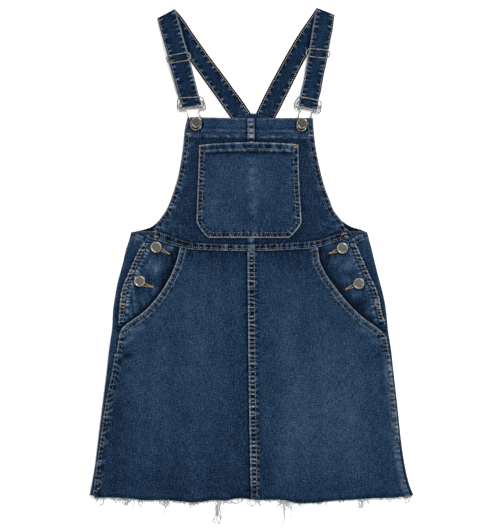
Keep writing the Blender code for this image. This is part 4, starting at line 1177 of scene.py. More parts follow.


# x0, y0, x1, y1, width, height, tone of each crease; the tone is painted light on a ridge and painted shade in a trough
BIB_CREASES = {
    "left": (
        (-138.0, 58.0, -112.0, 47.0, 3.5, 0.35, 0.07),
        (-128.0, 54.0, -100.0, 45.0, 3.0, -0.3, -0.05),
        (-126.0, 76.0, -114.0, 58.0, 3.5, 0.3, 0.04),
        (-92.0, 178.0, -86.0, 188.0, 3.0, 0.25, 0.05),
    ),
    "right": (
        (134.0, 58.0, 108.0, 48.0, 3.5, 0.35, 0.07),
        (122.0, 56.0, 98.0, 47.0, 3.0, -0.3, -0.05),
        (120.0, 74.0, 108.0, 56.0, 3.5, 0.3, 0.03),
        (84.0, 176.0, 78.0, 188.0, 3.0, -0.25, -0.04),
    ),
}
SKIRT_CREASES = {
    "left": (
        (-101.0, 27.0, -86.0, 13.0, 3.0, -0.45, -0.10),
        (-94.0, 28.0, -78.0, 16.0, 3.0, 0.30, 0.06),
        (-186.0, -100.0, -158.0, -90.0, 4.5, 0.5, 0.15),
        (-192.0, -118.0, -176.0, -104.0, 4.5, 0.45, 0.14),
        (-193.0, -134.0, -178.0, -134.0, 4.0, -0.55, -0.15),
        (-190.0, -146.0, -172.0, -150.0, 5.0, 0.25, 0.03),
        (-206.0, -188.0, -190.0, -192.0, 5.0, 0.25, 0.05),
        (-150.0, -88.0, -128.0, -66.0, 6.0, 0.3, 0.04),
    ),
    "right": (
        (98.0, 22.0, 92.0, 6.0, 3.0, 0.35, 0.06),
        (104.0, 26.0, 88.0, 14.0, 2.6, -0.4, -0.08),
        (186.0, -104.0, 160.0, -94.0, 4.5, 0.45, 0.10),
        (196.0, -118.0, 180.0, -108.0, 4.5, 0.45, 0.10),
        (196.0, -132.0, 184.0, -136.0, 4.0, -0.4, -0.08),
        (204.0, -158.0, 190.0, -160.0, 5.0, 0.3, 0.05),
        (210.0, -196.0, 196.0, -200.0, 5.0, 0.25, 0.04),
    ),
}
# x, y, rx, ry, turn, tone: patches where the skirt is paler or darker
SKIRT_FADES = {
    "left": (
        (-70.0, -150.0, 60.0, 120.0, 0.0, 0.020),
        (-150.0, -170.0, 24.0, 90.0, 0.0, 0.030),
        (-60.0, -290.0, 40.0, 70.0, 0.0, -0.012),
        (-22.0, -250.0, 16.0, 140.0, 0.0, -0.030),
        (-60.0, 12.0, 60.0, 14.0, 0.0, -0.055),
        (-100.0, -330.0, 120.0, 30.0, 0.0, -0.035),
        (-90.0, -60.0, 30.0, 60.0, 0.0, 0.030),
        (-205.0, -240.0, 12.0, 110.0, 0.0, -0.050),
        (-84.0, -300.0, 14.0, 50.0, 0.0, 0.035),
    ),
    "right": (
        (110.0, -210.0, 70.0, 130.0, 0.0, 0.066),
        (60.0, -230.0, 18.0, 120.0, 0.0, 0.040),
        (18.0, -300.0, 14.0, 70.0, 0.0, -0.035),
        (60.0, 8.0, 70.0, 16.0, 0.0, -0.050),
        (110.0, -335.0, 120.0, 26.0, 0.0, -0.030),
        (40.0, -70.0, 30.0, 60.0, 0.0, 0.020),
        (150.0, -260.0, 16.0, 80.0, 0.0, 0.030),
    ),
}


def skirt_half(side):
    sign = -1.0 if side == "left" else 1.0
    keys = np.concatenate([[28.0, 27.6], np.linspace(26.4, -347.4, 236), [-349.0, -349.7, -350.0]])[:, None]
    u = lines_across(235.0, 1.1, 1.1, 3.6, 16.0)
    edge = at(OPENING, side, keys)
    rise = (waist_mid(edge) - GAP / 2 - 28.0) * smooth((keys + 6.0) / 34.0)
    edge = at(OPENING, side, keys + rise + hem_shift(edge, keys))
    seam = at(CENTRE, "x", keys) + (-GAP / 2 if side == "left" else GAP / 2)
    x = mix(edge, seam, u[None, :])
    y = keys + (waist_mid(x) - GAP / 2 - 28.0) * smooth((keys + 6.0) / 34.0)
    y = y + hem_shift(x, keys + 0 * x)
    low = front_low(x, y) + opening_lift(x, keys + 0 * x)
    us, vs = borders(x, y)
    pts = OPEN_LEFT if side == "left" else OPEN_RIGHT
    s, d = near(pts, x, y)
    d = np.abs(d) / 0.84
    open_on = smooth((y + 104.0) / 6.0)
    c = np.clip(d / 5.4 - 1.0, -1, 1.6)
    r = pleats(s, c, 6.0, 51.0 if side == "left" else 53.0, slant=0.4, duty=0.48, low=0.55, soft=0.15)
    inside = (1 - smooth((d - 10.4) / 1.0)) * open_on
    t = 0.245 + 0.014 * vnoise(x / 26, y / 44, 15) + 0.018 * vnoise(x / 7, y / 60, 17)
    t = t + 0.014 * vnoise(x / 14, y / 11, 14)
    for cx, cy, rx, ry, turn, tn in SKIRT_FADES[side]:
        t = t + tn * patch(x, y, cx, cy, rx, ry, turn)
    # centre seam: its gathers run out into the panels
    cx = at(CENTRE, "x", y)
    half = at(CENTRE, "half", y)
    cd = np.abs(x - cx) - half
    if side == "left":
        rc = pleats(y, cd / 12, 8.4, 61.0, slant=0.3, duty=0.5, low=0.3, soft=0.2)
        t = t - 0.045 * bell(cd, 9.0) + 0.07 * (rc - 0.4) * bell(cd - 5.0, 4.0)
        # painted shadow: a near-black line beside the centre seam strip
        t = mix(t, 0.01, bell(cd - 0.9, 1.6))
    else:
        # the puckers run on from the seam's own
        rc = pleats(y, 1.0 + np.clip(cd, 0, 9) / 5.6, 6.5, 173.0, slant=0.14, duty=0.42, jitter=0.45, low=0.60)
        t = mix(gathered(cd, rc, (
            (0.0, 0.10, 0.62), (1.5, 0.12, 0.48), (3.2, 0.15, 0.36), (5.0, 0.17, 0.27), (8.0, 0.20, 0.21))),
            t, smooth((cd - 3.0) / 6.0))
    # side seam
    ss, sd = near(LEFT_SIDE if side == "left" else RIGHT_SIDE, x, y)
    sd = np.abs(sd) - (5.6 if side == "left" else 4.6)
    rs = pleats(y, 1.0 + np.clip(sd, 0, 9) / 3.8, 7.2, 131.0 if side == "left" else 137.0, slant=0.3, duty=0.5,
                jitter=0.5, low=0.65)
    on_side = smooth((-y - 128.0) / 6.0)
    if side == "left":
        sided = gathered(sd, rs, ((0.0, 0.10, 0.46), (3.0, 0.13, 0.42), (5.0, 0.19, 0.32), (8.0, 0.25, 0.28)))
    else:
        sided = gathered(sd, rs, ((0.0, 0.31, 0.50), (3.0, 0.33, 0.48), (6.0, 0.31, 0.38), (9.0, 0.30, 0.30)))
    t = mix(t, sided, on_side * (1 - smooth((sd - 3.0) / 5.0)))
    # above the strip the double stitched seam lies in the cloth itself
    away = np.abs(near(SIDE_TOP[side], x, y)[1])
    rg = pleats(y, away / 8.0, 5.8, 132.0 if side == "left" else 138.0, slant=0.3, duty=0.5, jitter=0.4, low=0.7)
    lapped = gathered(away, rg, (
        (0.0, 0.34, 0.84), (1.4, 0.30, 0.80), (2.4, 0.06, 0.46), (4.4, 0.01, 0.62), (6.4, 0.02, 0.58), (8.2, 0.05, 0.52),
        (9.6, 0.14, 0.40), (12.0, 0.20, 0.27)))
    seamed = (1 - smooth((away - 9.5) / 3.0)) * smooth((-y - 96.0) / 3.0) * (1 - smooth((-y - 129.0) / 3.0))
    t = mix(t, lapped, seamed)
    # below the waist: painted shadow under the waist lap's edge, and puckers
    wd = at(WAIST, "low", x) - y
    rw = ruche(x, np.clip(wd / 9, 0, 1), 7.5, 81.0, slant=0.6)
    t = mix(t, 0.03, 0.9 * bell(wd - 0.2, 1.5)) - 0.075 * bell(wd, 9.0)
    t = t + 0.10 * (rw - 0.35) * bell(wd - 4.0, 6.0)
    # the opening's rubbed edge and double row
    wide = 1.0 if side == "left" else 0.9
    strip = gathered(d, r, (
        (0.0, 0.60 * wide, 0.80 * wide), (1.3, 0.62 * wide, 0.80 * wide), (2.4, 0.26, 0.44), (4.0, 0.18, 0.44),
        (5.6, 0.12, 0.48), (7.5, 0.13, 0.48), (8.8, 0.14, 0.38), (10.2, 0.20, 0.50 * wide), (11.6, 0.24, 0.56 * wide),
        (12.8, 0.20, 0.38), (14.2, 0.20, 0.30), (17.0, 0.23, 0.25)))
    t = mix(t, strip, (1 - smooth((d - 14.0) / 3.4)) * open_on)
    # hem: a slightly darker, soft edge with pale yarn ends in it
    hd = y - at(HEM, "y", x)
    t = t - 0.09 * bell(hd - 2.4, 3.0) + 0.10 * np.clip(vnoise(x / 2.3, y / 2.0, 91), 0, 1) * bell(hd, 1.6)
    # creases: painted light on their ridges, painted shade in their troughs
    for x0, ya, x1, yb, w, h, tn in SKIRT_CREASES[side]:
        t = t + tn * crease(x, y, x0, ya, x1, yb, w)
    relief = 0.42 * vnoise(x / 46, y / 74, 16) + 0.16 * vnoise(x / 17, y / 52, 18)
    relief = relief + 0.6 * (rc - 0.35) * bell(cd - 1.5, 5.0)
    relief = relief + 0.6 * (rs - 0.35) * bell(sd - 1.5, 5.0) * on_side
    relief = relief + 0.5 * (rw - 0.35) * bell(wd - 4.0, 6.0)
    relief = relief + 0.7 * (rg - 0.4) * seamed
    relief = relief * (1 - 0.7 * inside)
    relief = relief + (strip_relief(r, c, 0.62, 0.5) + 0.25) * inside
    relief = relief + 0.4 * (r - 0.4) * bell(d - 13.0, 5.0) * open_on
    for x0, ya, x1, yb, w, h, tn in SKIRT_CREASES[side]:
        relief = relief + h * crease(x, y, x0, ya, x1, yb, w)
    relief = relief + 0.25 * vnoise(x / 6, y / 7, 93) * bell(hd, 4.0)
    # flat where the strips lie on it
    under = smooth((0.6 - cd) / 0.8)
    under = np.maximum(under, smooth((0.6 - sd) / 1.0) * on_side)
    under = np.maximum(under, smooth((0.8 - wd) / 1.2))
    relief = mix(relief, np.minimum(relief, 0.05), under)
    lower, upper = on_grid(x, y, low, CLOTH, relief, us, vs, (1, 0, 1, 0))
    name = f"skirt_front_{side}_cloth"
    ob = shell(name, lower, upper, t, DENIM_SKIRT)
    declare([f"skirt_front_{side}"])


# tone and height of the pulls in the hip yokes; the tone is painted light on a ridge and painted shade in a trough
HIP_CREASES = {
    "left": (
        (-131.0, 27.0, -118.0, 14.0, 3.0, -0.45, -0.10),
        (-126.0, 33.0, -112.0, 24.0, 3.2, 0.45, 0.12),
        (-140.0, 14.0, -122.0, 8.0, 3.6, 0.40, 0.06),
        (-119.0, 20.0, -114.0, 2.0, 2.6, -0.3, -0.08),
        (-162.0, -10.0, -152.0, 4.0, 4.0, 0.5, 0.06),
        (-152.0, -18.0, -136.0, -2.0, 6.0, 0.45, 0.07),
        (-148.0, -24.0, -138.0, -46.0, 4.0, 0.4, 0.09),
        (-156.0, -28.0, -150.0, -52.0, 3.6, -0.35, -0.08),
        (-175.0, -44.0, -170.0, -74.0, 4.0, 0.45, 0.11),
        (-168.0, -60.0, -160.0, -74.0, 3.4, -0.4, -0.10),
        (-182.0, -66.0, -178.0, -90.0, 3.4, 0.35, 0.08),
        (-184.0, -54.0, -172.0, -52.0, 2.4, -0.35, -0.09),
        (-133.0, -14.0, -124.0, 10.0, 3.6, -0.3, -0.05),
    ),
    "right": (
        (126.0, 26.0, 114.0, 12.0, 3.0, -0.45, -0.10),
        (124.0, 34.0, 110.0, 27.0, 3.0, 0.35, 0.08),
        (136.0, 14.0, 120.0, 2.0, 3.6, 0.40, 0.07),
        (116.0, 14.0, 112.0, -4.0, 2.6, -0.3, -0.06),
        (150.0, 6.0, 136.0, -4.0, 4.0, 0.5, 0.10),
        (156.0, -8.0, 140.0, -14.0, 4.0, -0.45, -0.08),
        (150.0, -22.0, 134.0, -20.0, 4.0, 0.4, 0.07),
        (168.0, -40.0, 150.0, -44.0, 4.4, 0.45, 0.10),
        (172.0, -52.0, 158.0, -60.0, 3.4, -0.4, -0.09),
        (182.0, -60.0, 172.0, -74.0, 4.0, 0.4, 0.10),
        (188.0, -78.0, 180.0, -88.0, 3.0, 0.35, 0.06),
    ),
}
HIP_FADES = {
    "left": (
        (-143.0, -1.0, 12.0, 19.0, -20.0, 0.14),
        (-158.0, -46.0, 12.0, 16.0, 20.0, 0.11),
        (-122.0, 27.0, 8.0, 4.0, 0.0, 0.14),
        (-124.0, 13.0, 10.0, 8.0, 0.0, -0.05),
        (-176.0, -70.0, 5.0, 16.0, 8.0, 0.06),
    ),
    "right": (
        (143.0, -2.0, 17.0, 17.0, -20.0, 0.09),
        (166.0, -52.0, 11.0, 22.0, -10.0, -0.015),
        (150.0, 14.0, 8.0, 12.0, 0.0, 0.06),
        (116.0, 30.0, 8.0, 5.0, 0.0, 0.06),
    ),
}


def hip_yoke(side):
    sign = -1.0 if side == "left" else 1.0
    keys = np.concatenate([[42.0, 41.6], np.linspace(40.5, -96.0, 96), [-97.1, -97.5]])[:, None]
    u = lines_across(66.0, 1.0, 1.6, 1.6, 10.0)
    edge = at(FRONT_EDGE, side, keys)
    reach = POCKET_REACH * smooth((8.0 - keys) / 26.0)
    drop = (waist_mid(sign * 106.0) - GAP / 2 - 42.0) * smooth((keys - 2.0) / 40.0)
    inner = at(OPENING, side, np.minimum(keys + drop, 30.0)) - sign * (reach - 1.2 * (1 - smooth(reach / 4.0)))
    x = mix(edge, inner, u[None, :])
    y = keys + (waist_mid(x) - GAP / 2 - 42.0) * smooth((keys - 2.0) / 40.0)
    low = front_low(x, y)
    us, vs = borders(x, y)
    s, d = near(PLACKET_LEFT if side == "left" else PLACKET_RIGHT, x, y)
    d = np.abs(d)
    od = np.abs(near(OPEN_LEFT if side == "left" else OPEN_RIGHT, x, y)[1])
    r = pleats(s, np.clip((d - 9.0) / 12, 0, 1.2), 5.9, 101.0 if side == "left" else 103.0, slant=0.6, duty=0.5,
               soft=0.2)
    k = 1.0 if side == "left" else 0.35
    t = mix(0.215, 0.202, k) + 0.045 * k * vnoise(x / 9, y / 13, 31) + 0.06 * k * vnoise(x / 3.6, y / 12, 33)
    t = t + 0.04 * k * vnoise(x / 2.6, y / 6, 34)
    # streaks that run down the cloth, some worn pale
    t = t + 0.20 * k * np.clip(vnoise(x / 3.0 + y / 16, y / 15, 35) - 0.25, 0, 1)
    band = gathered(d, r, ((9.3, 0.08, 0.58), (10.6, 0.18, 0.76), (12.4, 0.24, 0.84), (14.2, 0.17, 0.74), (17.0, 0.12, 0.52),
                             (20.0, 0.13, 0.34)))
    t = mix(band if side == "left" else mix(band, 0.18, 0.40), t, smooth((d - 12.0) / 6.0))
    for cx, cy, rx, ry, turn, tn in HIP_FADES[side]:
        t = t + tn * patch(x, y, cx, cy, rx, ry, turn)
    # the pulls: painted light on their ridges, painted shade in their troughs
    for x0, ya, x1, yb, w, h, tn in HIP_CREASES[side]:
        t = t + tn * crease(x, y, x0, ya, x1, yb, w)
    # the placket's gathers go on up to the waist
    rt = pleats(s, d / 9.0, 5.7, 109.0, slant=0.3, duty=0.5, jitter=0.4, low=0.7)
    upper_end = gathered(d, rt, (
        (0.0, 0.22, 0.66), (1.4, 0.18, 0.60), (2.6, 0.06, 0.40), (5.0, 0.01, 0.56), (7.4, 0.03, 0.50), (9.4, 0.12, 0.38),
        (11.0, 0.20, 0.30)))
    t = mix(t, upper_end, smooth((y - 35.0) / 2.0) * (1 - smooth((d - 9.5) / 2.5)))
    # painted shadow towards the pocket opening, where the yoke goes in under the front
    t = mix(t, 0.05, 0.9 * bell(od, 4.6)) - 0.075 * bell(od, 14.0)
    # painted shadow under the waist lap's edge
    wd = at(WAIST, "low", x) - y
    t = mix(t, 0.06, 0.8 * bell(wd, 1.8))
    # painted shadow: a dark halo on the cloth round and below each side button
    for b in SIDE_BUTTONS:
        t = mix(t, 0.07, 0.8 * bell(np.maximum(np.hypot(x - b.x - 0.4, y - b.y + 1.5) - 8.0, 0), 1.5))
    relief = 0.22 * vnoise(x / 15, y / 19, 32)
    relief = relief + 0.8 * (r - 0.35) * bell(d - 10.0, 5.5)
    for x0, ya, x1, yb, w, h, tn in HIP_CREASES[side]:
        relief = relief + 0.8 * h * crease(x, y, x0, ya, x1, yb, w)
    # the skirt front lies over it beyond the opening
    covered = near(OPEN_LEFT if side == "left" else OPEN_RIGHT, x, y)[1]
    covered = (covered < 0) if side == "left" else (covered > 0)
    under = np.where(covered, smooth(od / 1.0), 0.0)
    under = np.maximum(under, smooth((0.8 - wd) / 1.2))
    under = np.maximum(under, smooth((8.9 - d) / 0.8) * smooth((y + 95) / 6))
    relief = mix(relief, np.minimum(relief, 0.02) * 0.5, under)
    for b in SIDE_BUTTONS:
        flat = bell(np.hypot(x - b.x, y - b.y), 6.0)
        relief = relief * (1 - flat)
    lower, upper = on_grid(x, y, low, CLOTH, relief, us, vs, (1, 0, 0, 0))
    ob = shell(f"hip_yoke_{side}_cloth", lower, upper, t, DENIM_HIP)
    declare([f"hip_yoke_{side}"])


def strip_grid(mid, half_a, half_b, cols):
    """A strip about a line: c from -1 to 1 across, left of the line first."""
    c = np.asarray(cols)
    t = np.gradient(mid, axis=0)
    t /= np.hypot(t[:, 0], t[:, 1])[:, None]
    n = np.stack([-t[:, 1], t[:, 0]], 1)
    w = np.where(c[None, :] < 0, half_a, half_b)
    x = mid[:, :1] - n[:, :1] * c[None, :] * w
    y = mid[:, 1:] - n[:, 1:] * c[None, :] * w
    return x, y


COLS = np.array([-1.0, -0.95, -0.88, -0.80, -0.70, -0.60, -0.48, -0.34, -0.18, 0.0,
                 0.18, 0.34, 0.48, 0.60, 0.70, 0.80, 0.88, 0.95, 1.0])


def centre_seam(name, y0, y1, light, seed, slot, base=0.24):
    ys = np.concatenate([[y0, y0 - 0.3], np.arange(y0 - 1.2, y1 + 1.2, -1.1), [y1 + 0.3, y1]])
    cx, half = at(CENTRE, "x", ys)[:, None], at(CENTRE, "half", ys)[:, None]
    x = cx + half * COLS[None, :]
    y = ys[:, None] + hem_shift(cx, ys[:, None]) + 0 * x
    low = front_low(x, y) + CLOTH + LIE
    c = np.repeat(COLS[None, :], len(ys), 0)
    if y1 < 0:
        # skirt: a bright rubbed fold on the left, puckers that fan out to the right
        r = pleats(y, c, 6.5, seed, slant=0.14, duty=0.42, jitter=0.45, low=0.60)
        t = gathered(c, r, (
            (-1.0, 0.50, 0.92), (-0.80, 0.46, 0.76), (-0.62, 0.18, 0.56), (-0.44, 0.06, 0.56), (-0.20, 0.01, 0.70),
            (0.10, 0.01, 0.78), (0.40, 0.01, 0.74), (0.65, 0.03, 0.56), (0.85, 0.03, 0.48), (1.0, 0.05, 0.48)))
        t = t + 0.05 * vnoise(x / 2.4, y / 2.6, 7) + 0.10 * vnoise(y / 3.6, 0 * c, 8) * smooth((-c - 0.6) / 0.1)
        t = t * (1 - 0.45 * smooth((-y - 322.0) / 14.0))
    else:
        # bib: mostly pale, with dark gaps
        r = pleats(y, c, 9.0, seed, slant=0.12, duty=0.64, jitter=0.4, low=0.7, soft=0.10)
        t = gathered(c, r, (
            (-1.0, 0.24, 0.66), (-0.80, 0.20, 0.52), (-0.62, 0.16, 0.54), (-0.45, 0.06, 0.70), (-0.10, 0.02, 0.82),
            (0.20, 0.02, 0.82), (0.45, 0.12, 0.66), (0.62, 0.18, 0.56), (0.80, 0.08, 0.40), (1.0, 0.05, 0.26)))
        t = t + 0.05 * vnoise(x / 2.6, y / 2.6, 7)
        t = t * (1 - 0.35 * smooth((62.0 - y) / 3.0))
    t = np.clip(t, 0.02, 0.98)
    us, vs = borders(x, y)
    relief = strip_relief(r, c, 0.70, 0.75)
    lower, upper = on_grid(x, y, low, STRIP, relief, us, vs, (1, 1, 1, 1), 0.5)
    ob = shell(name, lower, upper, t, DENIM_SEAM)
    declare([slot])
    return ob


def waist_seam():
    n = 260
    u = np.concatenate([[0.0, 0.001], np.linspace(0.004, 0.996, n), [0.999, 1.0]])
    v = (COLS + 1) / 2
    x = np.empty((len(u), len(v)))
    y = np.empty_like(x)
    for j, vv in enumerate(v):
        x[:, j] = mix(mix(-154.0, -145.5, vv), mix(151.0, 144.5, vv), u)
        y[:, j] = mix(at(WAIST, "low", x[:, j]), at(WAIST, "high", x[:, j]), vv)
    low = front_low(x, y) + CLOTH + LIE + 0.1
    c = np.repeat(COLS[None, :], len(u), 0)
    r = pleats(x, c, 8.2, 111.0, slant=0.14, duty=0.46, jitter=0.7, low=0.5, soft=0.11)
    fine = pleats(x, c, 3.4, 113.0, slant=0.3, duty=0.5, jitter=0.6, low=0.2, soft=0.2)
    # the middle is paler than the ends, in patches
    light = 0.66 + 0.34 * bell(x + 22, 50) + 0.20 * bell(x - 34, 30) + 0.08 * vnoise(x / 26, 0 * x, 5)
    t = gathered(c, np.clip(r * light, 0, 1), (
        (-1.0, 0.34, 0.74), (-0.86, 0.34, 0.72), (-0.66, 0.08, 0.44), (-0.42, 0.10, 0.40), (-0.15, 0.05, 0.42),
        (0.10, 0.02, 0.46), (0.35, 0.02, 0.54), (0.60, 0.06, 0.52), (0.78, 0.10, 0.36), (1.0, 0.10, 0.26)))
    t = t + 0.06 * (fine - 0.3)
    # rubbed lower fold, brightest in the middle
    fold = 0.50 + 0.24 * bell(x - 2, 95) + 0.16 * vnoise(x / 4, 0 * x, 17) - 0.16 * smooth((np.abs(x) - 116) / 22)
    t = mix(t, fold, 0.8 * bell(c + 0.94, 0.10))
    # crossing of the centre seam
    cd = np.abs(x - at(CENTRE, "x", y))
    block = 0.50 + 0.16 * vnoise(x / 2.2, y / 2.0, 19) - 0.20 * bell(c - 0.66, 0.12) - 0.20 * bell(c + 0.30, 0.12)
    t = mix(t, block, smooth((5.9 - cd) / 0.5))
    # painted shade along the edges of the lump that the centre seam makes under the lap
    t = mix(t, 0.05, bell(cd - 6.4, 0.9))
    us, vs = borders(x, y)
    relief = strip_relief(r, c, 0.66, 0.75) + 0.35 * smooth((6.4 - cd) / 1.0)
    crumple = smooth((np.abs(x) - 128) / 14)
    relief = relief + crumple * 0.55 * vnoise(x / 4.5, y / 4.0, 25)
    t = np.clip(t + crumple * (0.06 + 0.20 * vnoise(x / 3.6, y / 3.2, 27)), 0.03, 0.95)
    lower, upper = on_grid(x, y, low, CLOTH, relief, us, vs, (1, 1, 1, 1), 0.5)
    ob = shell("waist_seam_cloth", lower, upper, t, DENIM_SEAM)
    declare(["waist_seam"])


def side_placket(side):
    sign = 1.0 if side == "left" else -1.0
    ys = np.concatenate([[36.5, 36.2], np.arange(35.3, -85.4, -0.95), [-86.2, -86.5]])
    e = at(FRONT_EDGE, side, ys) + sign * 0.5
    f = (COLS + 1) / 2
    x = e[:, None] + sign * 8.8 * f[None, :]
    y = ys[:, None] + 0 * x
    low = front_low(x, y) + CLOTH + LIE
    s = np.concatenate([[0], np.cumsum(np.hypot(np.diff(e), np.diff(ys)))])[:, None] + 0 * x
    c = np.repeat(COLS[None, :], len(ys), 0)
    seed = 121.0 if side == "left" else 127.0
    r = pleats(s, c, 5.7, seed, slant=0.26, duty=0.50, jitter=0.4, low=0.75, soft=0.10)
    k = 1.0 if side == "left" else 0.9
    t = gathered(c, r, (
        (-1.0, 0.36, 0.92), (-0.78, 0.42, 0.92 * k), (-0.55, 0.12, 0.46), (-0.25, 0.03, 0.52 * k), (0.10, 0.01, 0.72 * k),
        (0.45, 0.01, 0.70 * k), (0.75, 0.04, 0.54), (1.0, 0.06, 0.56)))
    t = np.clip(t + 0.05 * vnoise(x / 1.9, y / 2.4, 19), 0.01, 0.97)
    us, vs = borders(x, y)
    relief = 0.95 * (r - 0.38) * smooth((1.05 - np.abs(c)) / 0.2) - 0.2 * bell(np.abs(c) - 0.6, 0.15)
    lower, upper = on_grid(x, y, low, CLOTH, relief, us, vs, (1, 1, 1, 1), 0.5)
    ob = shell(f"side_placket_{side}_cloth", lower, upper, t, DENIM_SEAM)
    declare([f"side_placket_{side}"])


def side_seam(side):
    sign = 1.0 if side == "left" else -1.0
    y_end = -344.0 if side == "left" else -263.0
    ys = np.concatenate([[-131.0, -131.3], np.arange(-132.2, y_end + 1.0, -1.1), [y_end + 0.3, y_end]])
    e = at(BODY, f"seam_{side}", ys) - sign * 2.0 - (1.0 if side == "right" else 0.0)
    f = (COLS + 1) / 2
    x = e[:, None] + sign * 7.6 * f[None, :]
    y = ys[:, None] + 0 * x
    low = front_low(x, y) + CLOTH + LIE + 0.1
    c = np.repeat(COLS[None, :], len(ys), 0)
    r = pleats(y, c, 7.2, 131.0 if side == "left" else 137.0, slant=0.30, duty=0.50, jitter=0.5, low=0.65)
    if side == "left":
        t = gathered(c, r, (
            (-1.0, 0.28, 0.62), (-0.80, 0.26, 0.60), (-0.50, 0.10, 0.44), (-0.10, 0.03, 0.52), (0.30, 0.01, 0.58),
            (0.65, 0.02, 0.50), (0.85, 0.07, 0.42), (1.0, 0.08, 0.42)))
    else:
        t = gathered(c, r, (
            (-1.0, 0.22, 0.66), (-0.70, 0.20, 0.72), (-0.30, 0.22, 0.70), (0.20, 0.22, 0.58), (0.60, 0.26, 0.52),
            (1.0, 0.28, 0.50)))
    t = t + 0.05 * vnoise(x / 2.2, y / 2.4, 18)
    us, vs = borders(x, y)
    relief = strip_relief(r, c, 0.62, 0.75)
    lower, upper = on_grid(x, y, low, STRIP, relief, us, vs, (1, 1, 1, 1), 0.5)
    ob = shell(f"side_seam_{side}_cloth", lower, upper, t, DENIM_SEAM)
    declare([f"side_seam_{side}"])


def pocket():
    y0 = POCKET[0].y
    ys = np.concatenate([[y0, y0 + 0.3, y0 + 0.8], np.linspace(y0 + 1.8, 179.6, 119), [180.7, 181.2, 181.5]])
    left, right = at(POCKET, "left", ys), at(POCKET, "right", ys)
    u = lines_across(153.0, 0.95, 0.95, 2.4, 10.0)
    x = mix(left[:, None], right[:, None], u[None, :])
    arch = 4.0 * (1.0 - (x / 80.0) ** 2) * smooth((ys[:, None] - 150.0) / 31.0)
    y = ys[:, None] + arch
    cx = at(CENTRE, "x", y)
    hump = (STRIP + GAP) * (1.0 - smooth((np.abs(x - cx) - 7.7) / 5.0))
    low = front_low(x, y) + CLOTH + LIE + 0.15 + hump
    us, vs = borders(x, y)
    s, d = near(POCKET_SIDES, x, y)
    d = np.abs(d)
    hem_y = 181.5 + arch - 9.0
    c = np.clip(d / 4.6 - 1.0, -1, 1.6)
    r = pleats(s, c, 6.0, 141.0, slant=0.3, duty=0.48, jitter=0.45, low=0.55, soft=0.12)
    below = smooth((hem_y - y) / 1.0)
    inside = 1 - smooth((d - 8.8) / 0.9)
    t = 0.262 + 0.022 * vnoise(x / 20, y / 30, 41) + 0.018 * vnoise(x / 6, y / 40, 43) + 0.016 * vnoise(x / 9, y / 7, 44)
    # paler over the bib's seam, and towards the upper middle
    t = t + 0.085 * bell(x - cx - 2, 7.0) * smooth((172 - y) / 14) * (0.85 + 0.5 * vnoise(0 * x, y / 9, 46)) * (
        1 - 0.85 * smooth((88 - y) / 12))
    t = t - 0.075 * patch(x, y, -1, 67, 9, 8)
    t = t + 0.030 * patch(x, y, 10, 118, 46, 34)
    t = t + 0.02 * patch(x, y, -50, 90, 24, 40) - 0.02 * patch(x, y, 45, 80, 26, 34)
    t = t + 0.10 * np.clip(vnoise(x / 7, y / 3.4, 45), -0.3, 1) * bell(x - cx - 2, 9.0) * smooth((172 - y) / 24)
    # double row all round: its gathers are even down both sides
    bordered = gathered(d, r, (
        (0.0, 0.38, 0.68), (0.9, 0.30, 0.60), (1.9, 0.05, 0.38), (3.2, 0.03, 0.48), (5.0, 0.02, 0.56), (6.6, 0.04, 0.50),
        (8.0, 0.12, 0.42), (9.4, 0.13, 0.42), (11.0, 0.20, 0.34), (13.5, 0.24, 0.27)))
    t = mix(t, bordered, 1 - smooth((d - 10.5) / 3.5))
    # hem at the pocket's mouth: upright creases, and a dark line of painted shadow under its stitch row, below the
    # hem's fold
    top = 1 - below
    crinkle = ruche(x + 1.2 * vnoise(x / 9, y / 6, 47), (y - hem_y) / 8.0, 7.0, 151.0, slant=0.9, width=0.34, jitter=0.7, low=0.35)
    crinkle = np.clip(crinkle + 0.3 * vnoise(x / 2.1, y / 9, 48), 0, 1)
    mouth = gathered(181.5 + arch - y, crinkle, (
        (0.0, 0.52, 0.80), (1.3, 0.44, 0.66), (2.5, 0.20, 0.46), (4.0, 0.07, 0.42), (6.2, 0.05, 0.44), (7.6, 0.06, 0.36),
        (8.5, 0.14, 0.42), (9.4, 0.22, 0.58), (10.6, 0.24, 0.70), (11.7, 0.14, 0.42), (12.5, 0.03, 0.14),
        (13.4, 0.02, 0.10), (14.4, 0.11, 0.18), (15.8, 0.19, 0.23), (18.0, 0.24, 0.26), (22.0, 0.27, 0.27)))
    t = mix(t, mouth, (1 - smooth((181.5 + arch - y - 17.0) / 4.5)) * smooth((d - 3.0) / 5.0))
    t = t + 0.10 * bell(vs[1], 1.2) * (0.7 + 0.3 * vnoise(x / 6, 0 * x, 51))
    # worn pale fold all round
    rim = 0.78 + 0.12 * vnoise(s / 5, 0 * s, 53)
    t = mix(t, rim, 0.75 * (1 - smooth((d - 0.9) / 0.6)))
    relief = 0.22 * vnoise(x / 22, y / 30, 42) + 0.30 * smooth((d - 3) / 30) * smooth((170 - y) / 20)
    relief = relief * (1 - inside) + (strip_relief(r, c, 0.62, 0.55) + 0.12) * inside
    relief = mix(relief, 0.38 + 0.55 * (crinkle - 0.35), top) - 0.30 * bell(y - hem_y, 0.9)
    relief = relief - 0.22 * bell(y - hem_y + 4.2, 1.2) + 0.30 * bell(y - hem_y + 1.6, 1.3)
    lower, upper = on_grid(x, y, low, CLOTH, relief, us, vs, (1, 1, 1, 1), 0.55)
    ob = shell("bib_pocket_cloth", lower, upper, t, DENIM_POCKET)
    declare(["bib_pocket"])


